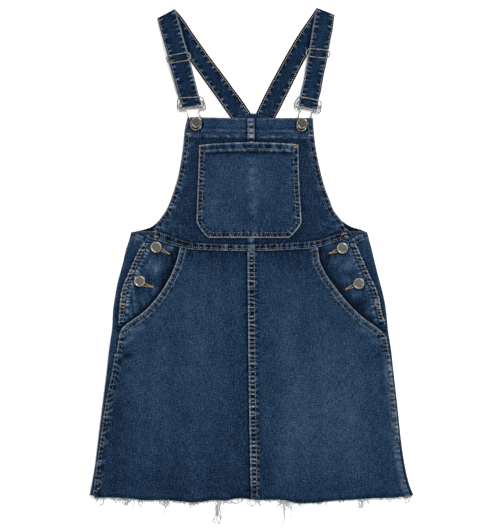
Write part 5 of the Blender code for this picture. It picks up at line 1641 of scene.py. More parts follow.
def spline3(pts, count_of):
    """Centripetal curve through 3-D points, count_of(i) steps in each span."""
    p = np.array(pts, float)
    n = len(p)
    out = []
    for i in range(n - 1):
        p0 = p[i - 1] if i > 0 else 2 * p[0] - p[1]
        p3 = p[i + 2] if i + 2 < n else 2 * p[-1] - p[-2]
        p1, p2 = p[i], p[i + 1]
        d = [max(np.linalg.norm(b - a) ** 0.5, 1e-4) for a, b in ((p0, p1), (p1, p2), (p2, p3))]
        t0, t1 = 0.0, d[0]
        t2, t3 = t1 + d[1], t1 + d[1] + d[2]
        k = count_of(i)
        for q in range(k):
            t = t1 + (t2 - t1) * q / k
            a1 = (t1 - t) / (t1 - t0) * p0 + (t - t0) / (t1 - t0) * p1
            a2 = (t2 - t) / (t2 - t1) * p1 + (t - t1) / (t2 - t1) * p2
            a3 = (t3 - t) / (t3 - t2) * p2 + (t - t2) / (t3 - t2) * p3
            b1 = (t2 - t) / (t2 - t0) * a1 + (t - t0) / (t2 - t0) * a2
            b2 = (t3 - t) / (t3 - t1) * a2 + (t - t1) / (t3 - t1) * a3
            out.append((t2 - t) / (t2 - t1) * b1 + (t - t1) / (t2 - t1) * b2)
    out.append(p[-1])
    return np.array(out)


STRAP_PATHS = {}


def strap(side, back, fold, front, tail, pin):
    a_pts, b_pts, kind = [], [], []

    def push(a, b, k):
        a_pts.append(np.array(a, float))
        b_pts.append(np.array(b, float))
        kind.append(k)

    for s in back:
        push((s.ax, s.ay, s.z), (s.bx, s.by, s.z), 0)
    fa, fb = np.array([fold.ax, fold.ay, 0.0]), np.array([fold.bx, fold.by, 0.0])
    ln = (fb - fa) / np.linalg.norm(fb - fa)
    out = np.array([-ln[1], ln[0], 0.0])
    out = out if out[1] > 0 else -out
    r = (STRAP + GAP) / 2
    for k in range(5):
        a = math.pi * (-0.5 + k / 4)
        shift = out * (r * math.cos(a)) + np.array([0, 0, fold.z + r * math.sin(a)])
        push(fa + shift, fb + shift, 1)
    for s in front:
        push((s.ax, s.ay, s.z), (s.bx, s.by, s.z), 2)
    pa, pb = np.array([*pin[0], 0.0]), np.array([*pin[1], 0.0])
    ln = (pb - pa) / np.linalg.norm(pb - pa)
    down = np.array([ln[1], -ln[0], 0.0])
    down = down if down[1] < 0 else -down
    for k in range(1, 8):
        a = math.pi * (0.5 - k / 8)
        shift = down * ((TURN_R + 2.3) * math.cos(a)) + np.array([0, 0, PIN_Z + TURN_R * math.sin(a)])
        push(pa + shift, pb + shift, 3)
    # the left tail lies a little wide of the run above it, and its edge shows
    wide = 1.5 if side == "left" else 0.0
    for s in tail:
        push((s.ax - wide, s.ay, s.z), (s.bx, s.by, s.z), 4)
    a_pts, b_pts = np.array(a_pts), np.array(b_pts)
    steps = [max(2, int(np.linalg.norm((a_pts[i + 1] + b_pts[i + 1] - a_pts[i] - b_pts[i]) / 2) / 1.15))
             for i in range(len(a_pts) - 1)]
    A = spline3(a_pts, lambda i: steps[i])
    B = spline3(b_pts, lambda i: steps[i])
    stage_of = np.concatenate([[kind[i]] * steps[i] for i in range(len(steps))] + [[kind[-1]]])
    mid = (A + B) / 2
    s = np.concatenate([[0], np.cumsum(np.linalg.norm(np.diff(mid, axis=0), axis=1))])
    along = np.gradient(mid, axis=0)
    along /= np.linalg.norm(along, axis=1)[:, None]
    across = (B - A)
    width = np.linalg.norm(across, axis=1)
    across /= width[:, None]
    normal = np.cross(across, along)
    normal /= np.linalg.norm(normal, axis=1)[:, None]
    f = np.array([0, 0.012, 0.03, 0.055, 0.085, 0.12, 0.16, 0.205, 0.26, 0.33, 0.41, 0.5,
                  0.59, 0.67, 0.74, 0.795, 0.84, 0.88, 0.915, 0.945, 0.97, 0.988, 1.0])
    P = A[:, None, :] * (1 - f)[None, :, None] + B[:, None, :] * f[None, :, None]
    N = np.repeat(normal[:, None, :], len(f), 1)
    dist = np.minimum(f, 1 - f)[None, :] * width[:, None]
    S = np.repeat(s[:, None], len(f), 1)
    F = np.repeat(f[None, :], len(s), 0)
    seed = 161.0 if side == "left" else 167.0
    # further apart on the back run
    So = S * np.where(stage_of == 0, 0.72, 1.02)[:, None]
    streak = dict(slant=0.35, duty=0.32, jitter=0.36, low=0.60, soft=0.10)
    run_in = np.clip(dist / 9.0, 0, 1)
    ra, rb = pleats(So, run_in, 7.4, seed, **streak), pleats(So + 2.7, run_in, 7.4, seed + 20, **streak)
    da, db = pleats(So + 2.1, run_in, 7.4, seed, **streak), pleats(So + 4.8, run_in, 7.4, seed + 20, **streak)
    r = np.where(F < 0.5, ra, rb)
    dark = np.where(F < 0.5, da, db) * (1 - r)
    streaky = 0.80 + 0.75 * vnoise(dist / 6, S / 1.1, seed + 6)
    reach = bell(np.maximum(dist - 4.2, 0.0), 3.0) * smooth((dist - 1.9) / 1.0)
    puck = (r - 0.25) * reach
    t = 0.165 + 0.022 * vnoise(S / 10, F * 3, seed + 1) + 0.018 * vnoise(S / 2.6, F * 4, seed + 2)
    t = t + 0.025 * bell(F - 0.5, 0.16) + (0.018 if side == "right" else 0.0) * (stage_of == 2)[:, None]
    row = gathered(dist, np.clip(r * streaky, 0, 1), (
        (0.0, 0.26, 0.46), (1.0, 0.27, 0.46), (1.9, 0.17, 0.42), (2.9, 0.105, 0.58), (4.5, 0.115, 0.70), (6.4, 0.125, 0.62),
        (8.4, 0.145, 0.40), (10.5, 0.16, 0.22)))
    row = row - 0.10 * dark * bell(np.maximum(dist - 4.6, 0.0), 3.4) * smooth((dist - 1.7) / 1.0)
    rim = 0.025 + 0.12 * smooth((1.0 - dist) / 0.6) + 0.04 * vnoise(S / 3, dist, seed + 8)
    at_back = (stage_of == 0)[:, None] * (1 - smooth((dist - 3.2) / 1.2))
    row = mix(row, rim, at_back)
    t = mix(row, t, smooth((dist - 6.0) / 5.0))
    t = t + 0.05 * vnoise(S / 3.0, F * 2, seed + 3) * (1 - smooth((dist - 0.9) / 0.7))
    front_on = smooth((stage_of[:, None] - 0.9) * 6.0) * (stage_of[:, None] < 3)
    inner = F > 0.5
    worn = 1.7 if side == "left" else 1.1
    pale = (1 - smooth((dist - worn) / 0.7)) * inner * front_on
    t = mix(t, (0.50 if side == "left" else 0.58) + 0.16 * vnoise(S / 4, dist, seed + 4), pale)
    tail_on = (stage_of == 4)[:, None] * (F < 0.5)
    t = mix(t, 0.97, tail_on * (1 - smooth((dist - 2.6) / 0.8)))
    # painted shadow on the back run beside the edge of the front run over it
    over_d = np.abs(near(np.array([(s_.bx, s_.by) for s_ in front]), P[..., 0], P[..., 1])[1])
    t = mix(t, 0.02, 0.8 * bell(over_d, 4.0) * (stage_of == 0)[:, None])
    # painted shade where the front run lies over the back one, by the fold
    t = t - 0.09 * bell(S - s[-1] * 0.0 - s[np.argmax(stage_of == 1)], 5.0)
    relief = 0.55 * puck - 0.24 * bell(dist - 2.1, 0.7) + 0.10 * vnoise(S / 15, F * 3, seed + 5)
    relief = relief - 0.42 * edge_roll(dist, 0.9)
    # thinner where it is pinched between wire and cloth, or tucked away
    turned = (stage_of == 1) | (stage_of == 3) | (stage_of == 4)
    relief = np.where(turned[:, None], np.minimum(relief, 0.0) * 0.6, relief)
    back_on = stage_of == 0
    tucked = back_on & (mid[:, 1] < 232)
    relief = np.where(tucked[:, None], np.minimum(relief, 0.0), relief)
    out_side = P + N * (STRAP / 2 + relief)[..., None] * 1.0
    in_side = P - N * (STRAP / 2 - 0.30 * edge_roll(dist, 0.9) * STRAP / 2)[..., None]
    uv = np.stack([F * width[:, None], S], -1)
    # back run: outside faces down, so its relief goes to the upper face too
    up0 = normal[3, 2]
    upper, lower = out_side, in_side
    if up0 < 0:
        # on the back run the inside face looks up: give it the gathers
        back_mask = (back_on[:, None] * np.ones_like(F)).astype(bool)
        in_rel = P - N * (STRAP / 2 + relief)[..., None]
        lower = np.where(back_mask[..., None], in_rel, in_side)
        out_flat = P + N * (STRAP / 2 - 0.4 * edge_roll(dist, 0.9))[..., None]
        upper = np.where(back_mask[..., None], out_flat, out_side)
    name = f"strap_{side}_cloth"
    ob = shell(name, lower, upper, t, DENIM_STRAP, uv, keep_top=False)
    me = ob.data
    verts = np.concatenate([lower.reshape(-1, 3), upper.reshape(-1, 3)])
    TOPS[name] = BVHTree.FromPolygons(verts.tolist(), [tuple(p.vertices) for p in me.polygons])
    STRAP_PATHS[side] = (A, B, stage_of, s)
    declare([f"strap_{side}"])


# -------------------------------------------------------------- hardware
def wire_path(corners, per_corner):
    n = len(corners)
    out = []
    for i in range(n):
        p0, p1, p2, p3 = (corners[(i + k) % n] for k in (-1, 0, 1, 2))
        v0, v1, v2, v3 = (np.array([p.x, p.y, p.z]) for p in (p0, p1, p2, p3))
        span = np.linalg.norm(v2 - v1)
        m1 = (v2 - v0) / max(np.linalg.norm(v2 - v0), 1e-6) * min(span, np.linalg.norm(v1 - v0)) * 0.9
        m2 = (v3 - v1) / max(np.linalg.norm(v3 - v1), 1e-6) * min(span, np.linalg.norm(v3 - v2)) * 0.9
        for q in range(per_corner):
            t = q / per_corner
            t2, t3 = t * t, t * t * t
            p = v1 * (2 * t3 - 3 * t2 + 1) + m1 * (t3 - 2 * t2 + t) + v2 * (3 * t2 - 2 * t3) + m2 * (t3 - t2)
            out.append((p, mix(p1.r, p2.r, float(smooth(t)))))
    return out


def tube_mesh(path, sides, closed, cap=True, squash=1.0):
    """Verts and faces of a tube about a list of (point, radius)."""
    count = len(path)
    pts = np.array([p for p, r in path])
    rad = np.array([r for p, r in path])
    verts, faces = [], []
    for i in range(count):
        if closed:
            d = pts[(i + 1) % count] - pts[i - 1]
        else:
            d = pts[min(i + 1, count - 1)] - pts[max(i - 1, 0)]
        d = d / max(np.linalg.norm(d), 1e-9)
        up = np.array([0, 0, 1.0])
        across = np.cross(up, d)
        if np.linalg.norm(across) < 0.05:
            across = np.cross(np.array([0, 1.0, 0]), d)
        across /= np.linalg.norm(across)
        over = np.cross(d, across)
        a = 2 * np.pi * (np.arange(sides) + 0.5) / sides
        ring = pts[i] + np.outer(np.cos(a) * rad[i], across) + np.outer(np.sin(a) * rad[i] * squash, over)
        verts.extend(ring.tolist())
    for i in range(count if closed else count - 1):
        j = (i + 1) % count
        for k in range(sides):
            m = (k + 1) % sides
            faces.append((i * sides + k, i * sides + m, j * sides + m, j * sides + k))
    if not closed and cap:
        faces.append(tuple(range(sides))[::-1])
        faces.append(tuple((count - 1) * sides + k for k in range(sides)))
    return verts, faces


def wire(name, corners, per_corner, sides, mat, node):
    verts, faces = tube_mesh(wire_path(corners, per_corner), sides, True)
    v = np.array(verts)
    f = np.array(faces)
    p = v[f]
    vol = np.einsum("ij,ij->i", p[:, 0], np.cross(p[:, 1], p[:, 2])).sum()
    if vol < 0:
        faces = [q[::-1] for q in faces]
    ob = finish_mesh(name, v, faces, None, mat)
    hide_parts(node)
    return ob


def join_parts(parts):
    verts, faces, tone = [], [], []
    for v, f, t in parts:
        n = len(verts)
        verts.extend(v)
        faces.extend(tuple(i + n for i in q) for q in f)
        tone.extend(t)
    return verts, faces, tone


def ball(cx, cy, cz, rx, rz, seg=8, rings=5):
    verts = [(cx, cy, cz + rz)]
    for i in range(1, rings):
        a = math.pi * i / rings
        for k in range(seg):
            b = 2 * math.pi * k / seg
            verts.append((cx + rx * math.sin(a) * math.cos(b), cy + rx * math.sin(a) * math.sin(b), cz + rz * math.cos(a)))
    verts.append((cx, cy, cz - rz))
    faces = []
    last = len(verts) - 1
    for k in range(seg):
        m = (k + 1) % seg
        faces.append((0, 1 + k, 1 + m))
        for i in range(rings - 2):
            a, b = 1 + i * seg, 1 + (i + 1) * seg
            faces.append((a + k, b + k, b + m, a + m))
        t = 1 + (rings - 2) * seg
        faces.append((last, t + m, t + k))
    return verts, faces


def lathe(x, y, z, profile, seg=64):
    """A turned solid closed on its axis, profile from the bottom up."""
    verts = [(x, y, z + profile[0][1])]
    for r, h in profile:
        for k in range(seg):
            a = 2 * math.pi * k / seg
            verts.append((x + r * math.cos(a), y + r * math.sin(a), z + h))
    verts.append((x, y, z + profile[-1][1]))
    last = len(verts) - 1
    faces = []
    for k in range(seg):
        m = (k + 1) % seg
        faces.append((0, 1 + m, 1 + k))
        for i in range(len(profile) - 1):
            a, b = 1 + i * seg, 1 + (i + 1) * seg
            faces.append((a + k, a + m, b + m, b + k))
        t = 1 + (len(profile) - 1) * seg
        faces.append((last, t + k, t + m))
    return verts, faces


def button(spec, rim_mat, face_mat):
    """Tack button: rolled cap with a ring of beads round a sunk flat face."""
    z = float(front_low(spec.x, spec.y)) + CLOTH + GAP
    s = spec.shank
    R = BUTTON_R
    cap = [
        (3.3, 0.0), (3.3, s), (R - 1.3, s + 0.15), (R - 0.5, s + 0.35), (R - 0.1, s + 0.8), (R, s + 1.2),
        (R - 0.15, s + 1.6), (R - 0.5, s + 1.95), (R - 0.9, s + 2.1), (R - 1.9, s + 2.1), (R - 2.2, s + 2.0),
        (R - 2.35, s + 1.75), (R - 2.6, s + 1.65), (1.0, s + 1.6),
    ]
    v, f = lathe(spec.x, spec.y, z, cap, 72)
    parts = [(v, f, [0.5] * len(v))]
    beads = 30
    for k in range(beads):
        a = 2 * math.pi * (k + 0.3) / beads
        rr = R - 1.35
        v, f = ball(spec.x + rr * math.cos(a), spec.y + rr * math.sin(a), z + s + 2.0, 0.66, 0.60, 8, 6)
        parts.append((v, f, [0.5] * len(v)))
    verts, faces, tone = join_parts(parts)
    ob = finish_mesh(spec.name + "_cap", verts, faces, None, rim_mat)
    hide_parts(spec.name)
    face = [(1.0, 1.55 + s), (R - 2.75, 1.55 + s), (R - 2.6, 1.70 + s), (R - 2.75, 1.84 + s), (R - 3.3, 1.90 + s),
            (R - 5.0, 1.93 + s), (0.8, 1.95 + s)]
    v, f = lathe(spec.x, spec.y, z, face, 48)
    ob = finish_mesh(spec.name + "_face", v, f, None, face_mat)


def hook_knurls():
    """Small ridges pressed round the lower loop of each hook."""
    for side, corners, button_at in (("left", HOOK_LEFT, BIB_BUTTONS[0]), ("right", HOOK_RIGHT, BIB_BUTTONS[1])):
        path = wire_path(corners, 24)
        parts = []
        gone = 0.0
        last = None
        for (p, r) in path:
            if last is not None:
                gone += float(np.linalg.norm(p - last))
            last = p
            d = math.hypot(p[0] - button_at.x, p[1] - button_at.y)
            if p[1] < button_at.y + 1.0 and d < 14 and gone > 2.3:
                gone = 0.0
                v, f = ball(p[0], p[1], p[2], 1.62, 1.45, 10, 7)
                parts.append((v, f, [0.5] * len(v)))
        verts, faces, _ = join_parts(parts)
        ob = finish_mesh(f"buckle_knurl_{side}", verts, faces, None, KNURL)


# -------------------------------------------------------------- stitching
def capsules(stitches, sides=6):
    """Short threads. Each is (p0, p1, radius, tone), arched a little."""
    ts = np.array([0.0, 0.12, 0.35, 0.65, 0.88, 1.0])
    scale = np.array([0.42, 0.86, 1.0, 1.0, 0.86, 0.42])
    sink = np.array([-0.25, 0.0, 0.12, 0.12, 0.0, -0.25])
    verts, faces, tones = [], [], []
    ang = 2 * np.pi * np.arange(sides) / sides
    for p0, p1, r, tone in stitches:
        p0, p1 = np.array(p0, float), np.array(p1, float)
        d = p1 - p0
        L = np.linalg.norm(d)
        if L < 0.05:
            continue
        d /= L
        across = np.cross([0, 0, 1.0], d)
        n = np.linalg.norm(across)
        if n < 1e-3:
            continue
        across /= n
        over = np.cross(d, across)
        base = len(verts)
        for t, sc, sk in zip(ts, scale, sink):
            c = p0 + d * (L * t) + np.array([0, 0, sk * r * 2])
            ring = c + np.outer(np.cos(ang) * r * sc, across) + np.outer(np.sin(ang) * r * sc, over)
            verts.extend(ring.tolist())
            tones.extend([tone] * sides)
        for i in range(len(ts) - 1):
            for k in range(sides):
                m = (k + 1) % sides
                a, b = base + i * sides, base + (i + 1) * sides
                faces.append((a + k, a + m, b + m, b + k))
        faces.append(tuple(base + k for k in range(sides))[::-1])
        e = base + (len(ts) - 1) * sides
        faces.append(tuple(e + k for k in range(sides)))
    return verts, faces, tones


PITS = []


def row(piece, pts, pitch=3.1, fill=0.50, radius=0.36, seed=0.0, tone=(0.30, 0.86), wobble=0.15, start=0.0, z_of=None):
    """A row of stitches along a line on top of a piece."""
    pts = np.asarray(pts, float)
    seg = np.hypot(*np.diff(pts, axis=0).T)
    s = np.concatenate([[0], np.cumsum(seg)])
    out = []
    n = int((s[-1] - start) / pitch)
    for i in range(n):
        a = start + (i + 0.5 * (1 - fill)) * pitch + wobble * (dice(i, seed) - 0.5)
        b = a + fill * pitch * (0.92 + 0.16 * dice(i, seed + 1))
        if b > s[-1]:
            break
        ends = []
        for q in (a, b):
            x, y = np.interp(q, s, pts[:, 0]), np.interp(q, s, pts[:, 1])
            off = 0.22 * (dice(i * 2 + (q == b), seed + 2) - 0.5)
            z = height(piece, x, y) if z_of is None else z_of(x, y)
            ends.append(None if z is None else (x + off, y + off * 0.5, z + 0.10))
        if None in ends:
            continue
        k = mix(tone[0], tone[1], dice(i, seed + 3))
        out.append((ends[0], ends[1], radius, float(k)))
        # the needle's pit, where the next stitch goes down
        q = b + 0.5 * (1 - fill) * pitch
        x, y = np.interp(q, s, pts[:, 0]), np.interp(q, s, pts[:, 1])
        z = height(piece, x, y) if z_of is None else z_of(x, y)
        if z is not None:
            PITS.append((x, y, z, 0.48 + 0.22 * float(dice(i, seed + 4))))
    return out


def add_pits(slot=None):
    """The needle's pits: small dark lens shapes of painted shade, sunk in the cloth to their rims."""
    verts, faces = [], []
    for x, y, z, r in PITS:
        n = len(verts)
        verts.append((x, y, z + 0.13))
        for k in range(6):
            a = math.pi * k / 3 + x
            verts.append((x + r * math.cos(a), y + r * math.sin(a), z + 0.05))
        verts.append((x, y, z - 0.10))
        for k in range(6):
            m = (k + 1) % 6
            faces.append((n, n + 1 + k, n + 1 + m))
            faces.append((n + 7, n + 1 + m, n + 1 + k))
    ob = finish_mesh("needle_pits", verts, faces, [0.0] * len(verts), TOPSTITCH_AND_PIT_SHADE)
    return ob


def bar_tack(piece, x0, y0, x1, y1, wide=2.0, seed=0.0):
    """A dense bar of cross stitches from one point to another."""
    d = np.array([x1 - x0, y1 - y0], float)
    L = np.hypot(*d)
    d /= L
    nrm = np.array([-d[1], d[0]])
    out = []
    n = max(4, int(L / 0.62))
    for i in range(n + 1):
        c = np.array([x0, y0]) + d * (L * i / n)
        w = wide * (0.85 + 0.3 * dice(i, seed)) / 2
        p, q = c - nrm * w + d * 0.25, c + nrm * w - d * 0.25
        zp, zq = height(piece, *p), height(piece, *q)
        zc = [z for z in (zp, zq) if z is not None]
        if not zc:
            continue
        z = max(zc) + 0.18
        out.append(((p[0], p[1], z), (q[0], q[1], z), 0.33, float(0.45 + 0.5 * dice(i, seed + 1))))
    return out


def buttonhole(piece, bx, by, tx, ty, seed):
    """What shows of a keyhole: two whipped edges that meet past the button."""
    a, b = np.array([bx, by]), np.array([tx, ty])
    d = b - a
    L = np.hypot(*d)
    d /= L
    nrm = np.array([-d[1], d[0]])
    out = []
    n = int(L / 0.62)
    for i in range(n + 1):
        t = i / n
        spread = 1.75 * (1 - t) ** 1.1 + 0.35
        for sgn in (-1, 1):
            c = a + d * (L * t) + nrm * (sgn * spread)
            w = 0.72 * (0.85 + 0.3 * dice(i + 50 * (sgn > 0), seed))
            p, q = c - nrm * w, c + nrm * w + d * 0.2
            z = height(piece, *c)
            if z is None:
                continue
            out.append(((p[0], p[1], z + 0.2), (q[0], q[1], z + 0.2), 0.32, float(0.35 + 0.55 * dice(i, seed + sgn))))
    out += bar_tack(piece, tx - d[0] * 0.3, ty - d[1] * 0.3, tx + d[0] * 1.2, ty + d[1] * 1.2, 1.9, seed + 7)
    return out


def add_stitches(name, stitches, mat):
    verts, faces, tones = capsules(stitches)
    ob = finish_mesh(name, verts, faces, tones, mat)
    return ob


def strap_rows(side):
    A, B, stage_of, s = STRAP_PATHS[side]
    name = f"strap_{side}_cloth"
    bvh = TOPS[name]
    out = []
    width = np.linalg.norm(B - A, axis=1)
    for which, stage_no, seed in (("a", 0, 201.0), ("b", 0, 203.0), ("a", 2, 201.0), ("b", 2, 203.0)):
        f_mm = 2.7 if stage_no == 0 else 2.1
        f = f_mm / width if which == "a" else 1 - f_mm / width
        P = A * (1 - f)[:, None] + B * f[:, None]
        if True:
            if stage_no == 0:
                keep = np.where(stage_of == 0)[0][1:]
            else:
                keep = np.where((stage_of == 2) | ((stage_of == 1) & (A[:, 2] > 2.9)))[0]
                keep = np.concatenate([keep, [keep[-1] + 1]])
            pts = P[keep]
            seg = np.linalg.norm(np.diff(pts, axis=0), axis=1)
            ss = np.concatenate([[0], np.cumsum(seg)])
            pitch, fill = (3.3, 0.52) if stage_no == 0 else (3.1, 0.50)
            for i in range(int(ss[-1] / pitch)):
                a = (i + 0.13) * pitch
                b = a + fill * pitch
                ends = []
                for q in (a, b):
                    p = np.array([np.interp(q, ss, pts[:, k]) for k in range(3)])
                    # drop from just above this run of the strap
                    lift = 3.2 if stage_no == 2 else 1.18
                    hit = bvh.ray_cast(Vector((p[0], p[1], p[2] + lift)), Vector((0, 0, -1)), 6.0)
                    ends.append(None if hit[0] is None else (p[0], p[1], hit[0].z + 0.10))
                if None in ends:
                    continue
                low, high = (0.76, 0.96) if stage_no == 0 else (0.50, 0.95)
                PITS.append((ends[1][0], ends[1][1], ends[1][2] - 0.10, 0.45))
                out.append((ends[0], ends[1], 0.56 if stage_no == 0 else 0.42, float(mix(low, high, dice(i, seed + stage_no)))))
    return out


def all_stitching():
    bib, pocket_rows, waist, skirt, sides = [], [], [], [], []
    for side, sign in (("left", -1.0), ("right", 1.0)):
        arm = ARM_LEFT if side == "left" else ARM_RIGHT
        for k, (off, seed) in enumerate(((1.6, 1.0), (7.1, 2.0))):
            pts = offset(arm, -off if side == "left" else off)
            bib += row(f"bib_{side}_cloth", pts, seed=seed + sign, radius=0.33)
        xs = np.linspace(-93.0, -7.0, 44) if side == "left" else np.linspace(8.6, 90.5, 42)
        bib += row(f"bib_{side}_cloth", np.stack([xs, HEM_ROW(xs)], 1), seed=5.0 + sign, tone=(0.12, 0.62))
        bib += row(f"bib_{side}_cloth", np.stack([xs, bib_top(xs) - 1.9], 1), seed=7.0 + sign, tone=(0.3, 0.8))
    xs = np.linspace(-4.8, 6.4, 6)
    bib += row("bib_centre_seam_cloth", np.stack([xs, HEM_ROW(xs)], 1), seed=9.0)
    bib += row("bib_centre_seam_cloth", np.stack([xs, 220.2 + 0 * xs], 1), seed=9.5, tone=(0.3, 0.8))
    for name, y0, y1, store in (("bib_centre_seam_cloth", 221.0, 187.0, bib), ("skirt_centre_seam_cloth", 20.0, -348.0, skirt)):
        ys = np.linspace(y0, y1, 120)
        for c in ((-0.70, 0.72) if y1 > 0 else (-0.56, 0.79)):
            pts = np.stack([at(CENTRE, "x", ys) + c * at(CENTRE, "half", ys), ys], 1)
            store += row(name, pts, seed=12.0 + c, tone=(0.35, 0.95) if c < 0 else (0.45, 1.0))
    # pocket: two rows inside its outline, one along the hem
    for off, seed in ((1.75, 21.0), (7.6, 22.0)):
        # in from the sides by off, and by a little less round the slanting corners
        inset = [off * 0.5, off * 0.62, off * 0.93] + [off] * (len(POCKET) - 3)
        rise = [off, off * 0.8, off * 0.4] + [0.0] * (len(POCKET) - 3)
        end = -1.5 if off < 4 else -9.0
        rise[-1] = end
        left = [(p.left + i, p.y + u) for p, i, u in zip(POCKET, inset, rise)][::-1]
        right = [(p.right - i, p.y + u) for p, i, u in zip(POCKET, inset, rise)]
        pocket_rows += row("bib_pocket_cloth", broken(left + right, 2.0), seed=seed)
    xs = np.linspace(-77.0, 70.0, 70)
    pocket_rows += row("bib_pocket_cloth",
                       np.stack([xs, 181.5 + 4.0 * (1.0 - (xs / 80.0) ** 2) - 9.0], 1), seed=24.0)
    # waist: one row near each edge of the lap
    for f, seed in ((0.83, 31.0), (0.32, 32.0)):
        xs = np.linspace(-146.0, 143.0, 150)
        ys = mix(at(WAIST, "low", xs), at(WAIST, "high", xs), f)
        waist += row("waist_seam_cloth", np.stack([xs, ys], 1), seed=seed)
    for side, sign in (("left", 1.0), ("right", -1.0)):
        pts = OPEN_LEFT if side == "left" else OPEN_RIGHT
        for off, seed, tn in ((3.1, 41.0, (0.30, 0.85)), (9.0, 42.0, (0.34, 0.90))):
            # the skirt lies to the right of the left opening, looking up it
            q = offset(pts, -off * sign)
            sides += row(f"skirt_front_{side}_cloth", q, seed=seed + sign, tone=tn)
        ys = np.linspace(35.0, -85.0, 110)
        for f, seed, tn in ((0.20, 51.0, (0.50, 1.0)), (0.80, 52.0, (0.25, 0.75))):
            xs = at(FRONT_EDGE, side, ys) + sign * (0.5 + 8.8 * f)
            sides += row(f"side_placket_{side}_cloth", np.stack([xs, ys], 1), seed=seed + sign, tone=tn)
        y_end = -343.0 if side == "left" else -262.0
        ys = np.linspace(-132.0, y_end, 150)
        for f, seed, tn in ((0.19, 61.0, (0.45, 1.0)), (0.81, 62.0, (0.20, 0.70))):
            xs = at(BODY, f"seam_{side}", ys) - sign * 2.0 - (1.0 if side == "right" else 0.0) + sign * 7.6 * f
            sides += row(f"side_seam_{side}_cloth", np.stack([xs, ys], 1), seed=seed + sign, tone=tn)
        ys = np.linspace(-98.5, -130.0, 30)
        for off, seed, tn in ((1.9, 63.0, (0.40, 0.95)), (7.2, 64.0, (0.20, 0.75))):
            xs = at(OPENING, side, ys)
            sides += row(f"skirt_front_{side}_cloth", np.stack([xs + sign * off, ys], 1), seed=seed + sign, tone=tn)
    for a, b, seed in (((-179.1, 44.4), (-158.1, 35.7), 71.0), ((175.5, 43.2), (158.1, 35.7), 72.0)):
        sides += row("back_skirt_cloth", line([a, b]), seed=seed, tone=(0.50, 1.0))
    made = [
        add_stitches("stitching_bib", bib, TOPSTITCH_AND_PIT_SHADE),
        add_stitches("stitching_pocket", pocket_rows, TOPSTITCH_AND_PIT_SHADE),
        add_stitches("stitching_waist", waist, TOPSTITCH_AND_PIT_SHADE),
        add_stitches("stitching_centre", skirt, TOPSTITCH_AND_PIT_SHADE),
        add_stitches("stitching_sides", sides, TOPSTITCH_AND_PIT_SHADE),
        add_stitches("stitching_straps", strap_rows("left") + strap_rows("right"), TOPSTITCH_AND_PIT_SHADE),
    ]
    tacks = []
    for piece, a, b, seed in (
        ("bib_left_cloth", (-97.0, 199.2), (-90.9, 198.9), 1),
        ("bib_right_cloth", (86.1, 195.9), (92.7, 196.2), 2),
        ("bib_pocket_cloth", (-78.1, 180.8), (-69.6, 181.0), 3),
        ("bib_pocket_cloth", (60.0, 183.0), (68.1, 181.8), 4),
        ("bib_pocket_cloth", (64.2, 178.0), (70.8, 178.3), 5),
        ("side_placket_left_cloth", (-195.3, -57.3), (-187.5, -56.7), 6),
        ("side_placket_right_cloth", (186.0, -52.0), (192.0, -53.1), 7),
        ("side_placket_right_cloth", (188.1, -63.0), (194.1, -63.3), 8),
        ("waist_seam_cloth", (-147.0, 51.4), (-142.5, 52.5), 9),
        ("waist_seam_cloth", (-144.3, 44.1), (-139.5, 44.7), 10),
        ("waist_seam_cloth", (136.5, 47.7), (143.4, 49.5), 11),
        ("waist_seam_cloth", (140.4, 44.4), (144.6, 45.0), 12),
        ("side_seam_left_cloth", (-230.1, -333.3), (-224.7, -332.7), 13),
    ):
        tacks += bar_tack(piece, *a, *b, 1.6, 300.0 + seed)
    holes = []
    for piece, a, b, seed in (
        ("hip_yoke_left_cloth", (-135.6, 25.9), (-123.3, 18.9), 1),
        ("hip_yoke_left_cloth", (-160.2, -27.3), (-147.9, -30.9), 2),
        ("hip_yoke_right_cloth", (129.6, 23.7), (118.5, 19.5), 3),
        ("hip_yoke_right_cloth", (153.9, -29.2), (142.8, -34.2), 4),
    ):
        holes += buttonhole(piece, *a, *b, 400.0 + seed)
    made.append(add_stitches("bar_tacks", tacks, TACK))
    made.append(add_stitches("buttonholes", holes, TACK))
    made.append(add_pits())
    return made


# ------------------------------------------------------------------ fringe
def yarn(points, radius, sides=5):
    pts = np.array(points, float)
    n = len(pts)
    path = [(pts[i], radius * (1.0 if 0 < i < n - 1 else 0.55)) for i in range(n)]
    return tube_mesh(path, sides, False)


def curl(x0, y0, x1, y1, z0, z1, bow, waves, wiggle, seed, steps=14):
    """A loose yarn from the cut edge to its end, bowed and wriggling."""
    t = np.linspace(0, 1, steps)
    dx, dy = x1 - x0, y1 - y0
    L = max(math.hypot(dx, dy), 1e-6)
    nx, ny = -dy / L, dx / L
    side = bow * np.sin(np.pi * t) + wiggle * np.sin(2 * np.pi * waves * t + seed * 6.3) * smooth(t * 3)
    side = side + 0.4 * wiggle * np.sin(2 * np.pi * waves * 2.3 * t + seed * 11.0) * smooth(t * 3)
    x = x0 + dx * t + nx * side
    y = y0 + dy * t + ny * side
    z = z0 + (z1 - z0) * smooth(t * 1.6) + 0.25 * np.sin(2 * np.pi * waves * 1.3 * t + seed * 3.1) * smooth(t * 3)
    return np.stack([x, y, np.maximum(z, 0.35)], 1)


def stray(x, y, heading, length, kink, turn, seed, z0=2.1, z1=0.5):
    """A yarn that wanders off from the cut edge, its heading drifting."""
    n = max(5, int(length / 0.95))
    pts = [(x, y, z0)]
    a = heading
    for i in range(n):
        a += turn * 0.95 + kink * float(dice(i * 3.0, seed) - 0.5) + kink * 0.6 * math.sin(i * 0.9 + seed)
        x += 0.95 * math.cos(a)
        y += 0.95 * math.sin(a)
        y = max(y, -386.6)
        x = min(max(x, -241.5), 241.5)
        top = float(at(HEM, "y", x))
        if y > top + 0.6:                      # turned back under by the cloth's edge
            a = -abs(a) if math.sin(a) > 0 else a
            y = top + 0.6
        q = min(1.0, (i + 1) / 4.0)
        pts.append((x, y, mix(z0, z1, q) + 0.5 * float(dice(i, seed + 7))))
    return np.array(pts)


